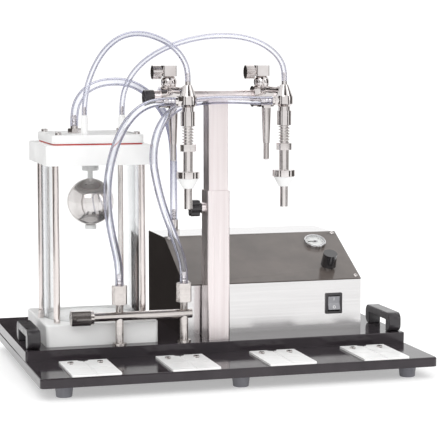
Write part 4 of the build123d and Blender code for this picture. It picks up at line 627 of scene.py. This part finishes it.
# ---------------------------------------------------------------- materials
class Surface:
    """A Principled material whose colour, gloss and relief vary over the object."""

    def __init__(self, name, **sockets):
        self.material = bpy.data.materials.new(name)
        self.material.use_nodes = True
        self.tree = self.material.node_tree
        self.shader = self.tree.nodes["Principled BSDF"]
        self.place = self.tree.nodes.new("ShaderNodeTexCoord").outputs["Object"]
        for socket, value in sockets.items():
            self.shader.inputs[socket.replace("_", " ")].default_value = value

    def link(self, source, target):
        self.tree.links.new(source, target)

    def noise(self, scale, detail=4.0, stretch=(1, 1, 1), distortion=0.0):
        """Noise over the object, stretched by scaling its coordinates."""
        mapping = self.tree.nodes.new("ShaderNodeMapping")
        mapping.inputs["Scale"].default_value = stretch
        node = self.tree.nodes.new("ShaderNodeTexNoise")
        node.inputs["Scale"].default_value = scale
        node.inputs["Detail"].default_value = detail
        node.inputs["Distortion"].default_value = distortion
        self.link(self.place, mapping.inputs["Vector"])
        self.link(mapping.outputs["Vector"], node.inputs["Vector"])
        return node.outputs["Fac"]

    def spread(self, source, low, high, start=0.35, end=0.65):
        """Stretch a 0 to 1 pattern between two values."""
        node = self.tree.nodes.new("ShaderNodeMapRange")
        node.inputs["From Min"].default_value = start
        node.inputs["From Max"].default_value = end
        node.inputs["To Min"].default_value = low
        node.inputs["To Max"].default_value = high
        self.link(source, node.inputs["Value"])
        return node.outputs["Result"]

    def colour(self, source, dark, light, start=0.35, end=0.65):
        """Colour between two tones by a pattern."""
        mix = self.tree.nodes.new("ShaderNodeMix")
        mix.data_type = "RGBA"
        tones = {"A": (*dark, 1), "B": (*light, 1)}
        for socket in mix.inputs:
            if socket.type == "RGBA":
                socket.default_value = tones[socket.name]
        self.link(self.spread(source, 0, 1, start, end), mix.inputs["Factor"])
        result = [socket for socket in mix.outputs if socket.type == "RGBA"][0]
        self.link(result, self.shader.inputs["Base Color"])
        return result

    def rough(self, source, low, high):
        self.link(self.spread(source, low, high), self.shader.inputs["Roughness"])

    def blend_socket(self, socket, factor, low):
        """Scale down a driven value toward low where factor is 0."""
        node = self.tree.nodes.new("ShaderNodeMix")
        node.inputs["A"].default_value = low
        target = self.shader.inputs[socket]
        self.link(target.links[0].from_socket, node.inputs["B"])
        self.link(factor, node.inputs["Factor"])
        self.link(node.outputs["Result"], target)

    def tint(self, factor, shade):
        """Show shade in place of the driven colour where factor is 0."""
        mix = self.tree.nodes.new("ShaderNodeMix")
        mix.data_type = "RGBA"
        first, second = [socket for socket in mix.inputs if socket.type == "RGBA"]
        first.default_value = (*shade, 1)
        target = self.shader.inputs["Base Color"]
        self.link(target.links[0].from_socket, second)
        self.link(factor, mix.inputs["Factor"])
        result = [socket for socket in mix.outputs if socket.type == "RGBA"][0]
        self.link(result, target)

    def bump(self, source, strength, distance):
        node = self.tree.nodes.new("ShaderNodeBump")
        node.inputs["Strength"].default_value = strength
        node.inputs["Distance"].default_value = distance
        self.link(source, node.inputs["Height"])
        self.link(node.outputs["Normal"], self.shader.inputs["Normal"])

    def lets_lamps_through(self):
        """Clear walls pass shadow rays, so what is inside stays lit."""
        path = self.tree.nodes.new("ShaderNodeLightPath")
        open_air = self.tree.nodes.new("ShaderNodeBsdfTransparent")
        mix = self.tree.nodes.new("ShaderNodeMixShader")
        output = self.tree.nodes["Material Output"]
        self.link(path.outputs["Is Shadow Ray"], mix.inputs[0])
        self.link(self.shader.outputs["BSDF"], mix.inputs[1])
        self.link(open_air.outputs["BSDF"], mix.inputs[2])
        self.link(mix.outputs["Shader"], output.inputs["Surface"])


def painted(name, dark, light, rough, coat, speckle=900.0, relief=0.06, shine=0.5):
    """Enamel or moulded plastic: faint mottling, orange peel and patchy gloss."""
    made = Surface(name, Coat_Weight=coat, Coat_Roughness=0.06, Specular_IOR_Level=shine)
    cloud = made.noise(18.0, detail=5.0)
    made.colour(cloud, dark, light)
    made.rough(made.noise(55.0, detail=6.0), *rough)
    made.bump(made.noise(speckle, detail=2.0), relief, 0.0003)
    return made


def brushed(name, dark, light, rough, stretch, grain=260.0, anisotropic=0.5, relief=0.05):
    """Steel with fine lines along one direction."""
    made = Surface(name, Metallic=1.0, Anisotropic=anisotropic)
    lines = made.noise(grain, detail=3.0, stretch=stretch)
    made.colour(lines, dark, light, 0.25, 0.75)
    made.rough(made.noise(grain * 0.7, detail=4.0, stretch=stretch), *rough)
    made.bump(lines, relief, 0.0002)
    return made


# The box's left side: its lower roughness is polish, and its darker colour is a painted reflection of dark
# surroundings.
POLISHED_AND_PAINTED_SIDE_EDGE = (0.6, 1.4)
POLISHED_SIDE_ROUGHNESS = 0.04
SIDE_PAINTED_REFLECTION_COLOUR = (0.42, 0.36, 0.34)


def box_sheet():
    """Satin sheet whose left side is polished like a mirror and darkened by a painted reflection of dark
    surroundings.
    """
    made = brushed(
        "brushed_sheet",
        (0.64, 0.63, 0.63),
        (0.72, 0.71, 0.71),
        (0.12, 0.18),
        (0.02, 1, 1),
        anisotropic=0.0,
        relief=0.02,
    )
    low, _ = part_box("pump_box_cover")
    split = made.tree.nodes.new("ShaderNodeSeparateXYZ")
    made.link(made.place, split.inputs["Vector"])
    start, end = (low.x + offset * MM for offset in POLISHED_AND_PAINTED_SIDE_EDGE)
    away_from_painted_side = made.spread(split.outputs["X"], 0.0, 1.0, start, end)
    made.blend_socket("Roughness", away_from_painted_side, POLISHED_SIDE_ROUGHNESS)
    # Painted reflection: the left side's colour is darkened to stand in for the dark it reflects.
    made.tint(away_from_painted_side, SIDE_PAINTED_REFLECTION_COLOUR)
    return made


def polished(name, dark, light, rough, smear=30.0):
    """Polished steel with handling smears and faint hairlines."""
    made = Surface(name, Metallic=1.0)
    made.colour(made.noise(smear, detail=6.0), dark, light)
    made.rough(made.noise(2.3 * smear, detail=8.0), *rough)
    made.bump(made.noise(700.0, detail=2.0, stretch=(1, 1, 0.15)), 0.03, 0.0001)
    return made


def clear(name, tint, edge, ior, rough, start=0.35, end=1.0):
    """Clear plastic wall with fine scuffs; its colour turns toward edge where the wall is seen edge-on,
    partly its own tint and partly painted shade for the dark its edges refract.
    """
    made = Surface(name, Transmission_Weight=1.0, IOR=ior)
    facing = made.tree.nodes.new("ShaderNodeLayerWeight")
    facing.inputs["Blend"].default_value = 0.5
    # Own tint and painted shade: the colour darkens toward the edges seen edge-on from the camera.
    made.colour(facing.outputs["Facing"], tint, edge, start, end)
    made.rough(made.noise(120.0, detail=8.0), *rough)
    made.bump(made.noise(260.0, detail=3.0), 0.02, 0.0002)
    made.lets_lamps_through()
    return made


surfaces = {
    "enamel": painted(
        "black_enamel", (0.026, 0.021, 0.025), (0.04, 0.033, 0.038), (0.05, 0.13), 0.0, shine=0.38
    ),
    "rubber": painted("foot_rubber", (0.14, 0.14, 0.16), (0.2, 0.2, 0.22), (0.4, 0.6), 0.0, 1500.0, 0.25),
    "black": painted(
        "black_plastic", (0.022, 0.019, 0.022), (0.04, 0.036, 0.04), (0.26, 0.4), 0.2, 1400.0, 0.2
    ),
    "white": painted("white_plastic", (0.8, 0.8, 0.795), (0.86, 0.86, 0.855), (0.3, 0.45), 0.1, 700.0, 0.05),
    "knob": painted(
        "gloss_black", (0.012, 0.011, 0.012), (0.022, 0.02, 0.022), (0.06, 0.14), 0.8, 900.0, 0.05
    ),
    "grey": painted("grey_rocker", (0.28, 0.28, 0.3), (0.36, 0.36, 0.38), (0.2, 0.35), 0.3),
    "dial": painted("dial_white", (0.84, 0.84, 0.82), (0.9, 0.9, 0.88), (0.4, 0.5), 0.0),
    "gasket": painted("red_silicone", (0.42, 0.02, 0.015), (0.6, 0.04, 0.03), (0.45, 0.6), 0.0),
    # Painted reflection: the panel's dark colour stands in for the dark surroundings its polished face
    # reflects.
    "panel": painted("taupe_panel", (0.1, 0.085, 0.078), (0.13, 0.11, 0.1), (0.12, 0.22), 0.35),
    "alloy": painted("cast_alloy", (0.4, 0.4, 0.4), (0.52, 0.52, 0.52), (0.35, 0.5), 0.0, 600.0, 0.4),
    "column": brushed("brushed_column", (0.76, 0.69, 0.69), (0.84, 0.78, 0.78), (0.26, 0.36), (1, 1, 0.02)),
    "bar": brushed("brushed_bar", (0.56, 0.52, 0.5), (0.68, 0.64, 0.62), (0.12, 0.24), (0.03, 1, 1)),
    "sheet": box_sheet(),
    "steel": polished("polished_steel", (0.58, 0.54, 0.53), (0.72, 0.69, 0.68), (0.05, 0.13)),
    "rod": brushed(
        "ground_rod", (0.66, 0.6, 0.58), (0.8, 0.75, 0.73), (0.12, 0.22), (1, 1, 0.05), 400.0, 0.3
    ),
    "spring": polished("spring_wire", (0.6, 0.57, 0.55), (0.75, 0.72, 0.7), (0.12, 0.22), 90.0),
    "chrome": polished("chrome", (0.55, 0.55, 0.56), (0.66, 0.66, 0.67), (0.03, 0.08)),
    # The clear walls' edge colours are partly their own tint and partly painted shade darkening the edges
    # seen edge-on.
    "acrylic": clear("clear_acrylic", (0.98, 0.985, 0.985), (0.16, 0.17, 0.19), 1.35, (0.0, 0.03), 0.3, 0.9),
    "hose": clear("clear_hose", (0.95, 0.955, 0.985), (0.04, 0.04, 0.13), 1.4, (0.02, 0.06), 0.06, 0.62),
    "glass": clear("lens_glass", (0.98, 0.985, 0.99), (0.85, 0.88, 0.9), 1.3, (0.0, 0.02)),
}

WEARS = {
    "enamel": ["base_plate", "deck_plate"],
    "rubber": ["rubber_feet"],
    "black": ["carry_handles", "column_knob", "gauge_needle", "switch_frame", "power_inlet"],
    "knob": ["regulator_knob"],
    "white": [
        *(f"bottle_nest_{k}" for k in (1, 2, 3, 4)),
        "tank_base",
        "tank_top_plate",
        "tank_lid",
        "return_connectors",
        "float_guide",
        "nozzle_cone_left",
        "nozzle_cone_right",
    ],
    "grey": ["switch_rocker"],
    "gasket": ["lid_gasket"],
    "panel": ["control_panel"],
    "alloy": ["pump_casing", "pump_rotor"],
    "column": ["column_sleeve", "head_post"],
    "bar": ["manifold", "manifold_cap", "hose_tails"],
    "sheet": ["pump_box_cover", "pump_box_floor"],
    "rod": ["tank_tie_rods", "regulator_body"],
    "chrome": ["gauge_body"],
    "acrylic": ["tank_tube"],
    "steel": [
        "float_ball",
        "vacuum_barb",
        "tank_drain_plug",
        "box_hose_fitting",
        *(f"{part}_{side}" for part in ("nozzle_arm", "clamp_knob", "valve_lever") for side in SIDES),
        *(f"{part}_{side}" for part in ("nozzle_body", "nozzle_slide") for side in SIDES),
    ],
}


def wear(piece, surface):
    """Give a piece one of the surfaces, in every slot that it has."""
    material = surfaces[surface].material
    if not piece.material_slots:
        piece.data.materials.append(material)
    for slot in piece.material_slots:
        slot.material = material


EDGE_WIDTHS = {
    "deck_plate": 0.6,
    "control_panel": 0.5,
    "column_sleeve": 0.7,
    "head_post": 0.5,
    "carry_handles": 1.6,
    "tank_base": 0.6,
    "tank_top_plate": 0.6,
    "tank_lid": 0.9,
    "switch_frame": 0.5,
    "power_inlet": 0.5,
    "manifold_cap": 0.5,
    "hose_tails": 0.5,
    **{f"bottle_nest_{k}": 0.7 for k in (1, 2, 3, 4)},
    **{f"nozzle_arm_{side}": 0.6 for side in SIDES},
    **{f"nozzle_slide_{side}": 0.5 for side in SIDES},
    **{f"nozzle_body_{side}": 0.4 for side in SIDES},
    **{f"nozzle_cone_{side}": 0.3 for side in SIDES},
}


def soften(piece, width, turned):
    """A small rounded edge that catches light, as handled metal and moulded plastic have."""
    weld = piece.modifiers.new("weld", "WELD")
    weld.merge_threshold = 0.001 * MM
    bevel = piece.modifiers.new("edge", "BEVEL")
    bevel.width = width * MM
    bevel.segments = 2
    bevel.limit_method = "ANGLE"
    bevel.angle_limit = radians(40)
    bevel.harden_normals = not turned
    if turned:
        shading = piece.modifiers.new("shading", "WEIGHTED_NORMAL")
        shading.mode = "FACE_AREA_WITH_ANGLE"
        shading.weight = 80


for name, width in EDGE_WIDTHS.items():
    soften(nodes[name], width, turned=name.startswith("nozzle"))
for surface, names in WEARS.items():
    for name in names:
        wear(nodes[name], surface)
for piece in hose_pieces:
    wear(piece, "hose")
for piece in spring_coils:
    wear(piece, "spring")
for piece in (*barbs, *screw_pieces, panel_heads):
    wear(piece, "steel")
# The panel's slot bars are black as painted shade for the recessed slots; the caps and dial scale are black
# in their own right.
for piece in (*end_caps, dial_scale, panel_slot_shade):
    wear(piece, "black")
wear(dial, "dial")
wear(lens, "glass")
wear(marks_on_rocker, "white")

# ---------------------------------------------------------------- floor and light
FLOOR_HALF = 6.0
FLOOR_Z = -0.0002


def studio_floor():
    """A plain pale floor under the feet."""
    bm = bmesh.new()
    corners = [(-1, -1), (1, -1), (1, 1), (-1, 1)]
    bm.faces.new([bm.verts.new((FLOOR_HALF * x, FLOOR_HALF * y, FLOOR_Z)) for x, y in corners])
    floor = new_object("studio_floor", bm)
    paper = Surface("studio_paper", Emission_Strength=0.4)
    paper.colour(paper.noise(3.0), (0.66, 0.66, 0.66), (0.68, 0.68, 0.68))
    paper.rough(paper.noise(40.0), 0.7, 0.85)
    floor.data.materials.append(paper.material)


def softbox(name, place, aim, size, power):
    """A large soft lamp turned to a point."""
    data = bpy.data.lights.new(name, "AREA")
    data.shape = "RECTANGLE"
    data.size, data.size_y = size
    data.energy = power
    lamp = bpy.data.objects.new(name, data)
    lamp.location = place
    lamp.rotation_euler = (Vector(aim) - Vector(place)).to_track_quat("-Z", "Y").to_euler()
    scene.collection.objects.link(lamp)


def dark_flag(name, place, aim, width, height, shade):
    """A dark card that only polished surfaces see, as a product photographer sets them."""
    normal = (Vector(aim) - Vector(place)).normalized()
    u, v = across(normal)
    bm = bmesh.new()
    corners = ((-1, -1), (1, -1), (1, 1), (-1, 1))
    points = [Vector(place) + a * width / 2 * u + b * height / 2 * v for a, b in corners]
    bm.faces.new([bm.verts.new(point) for point in points])
    card = new_object(name, bm)
    made = Surface(f"{name}_card")
    made.colour(made.noise(4.0), (0.6 * shade, 0.5 * shade, 0.46 * shade), (shade, 0.9 * shade, 0.85 * shade))
    made.rough(made.noise(9.0), 0.9, 1.0)
    card.data.materials.append(made.material)
    card.visible_camera = False
    card.visible_diffuse = False
    card.visible_shadow = False
    card.visible_transmission = False


studio_floor()
middle = (0.0, 0.0, 0.25)
softbox("key", (-1.2, -2.2, 2.2), middle, (1.6, 1.6), 16)
softbox("fill", (2.0, -1.6, 1.3), middle, (1.2, 1.6), 6)
softbox("back", (0.3, 2.2, 1.8), middle, (2.4, 1.2), 10)
dark_flag("flag_left", (-1.5, 0.1, 0.5), middle, 1.6, 1.3, 0.08)
dark_flag("flag_front_left", (-1.24, -1.15, 0.5), middle, 0.34, 1.4, 0.06)
dark_flag("flag_right", (1.5, -0.3, 0.5), middle, 1.1, 1.4, 0.09)
dark_flag("flag_front_right", (1.15, -1.5, 0.5), middle, 0.5, 1.4, 0.06)
dark_flag("flag_back_left", (-0.2, 0.45, 0.25), (-0.15, 0.1, 0.2), 0.42, 0.7, 0.03)
dark_flag("flag_top", (0.0, -0.6, 2.0), middle, 2.4, 1.0, 0.06)

world = bpy.data.worlds.new("studio")
world.use_nodes = True
world.node_tree.nodes["Background"].inputs["Color"].default_value = (1, 1, 1, 1)
world.node_tree.nodes["Background"].inputs["Strength"].default_value = 1.1
scene.world = world
scene.view_settings.view_transform = "Standard"
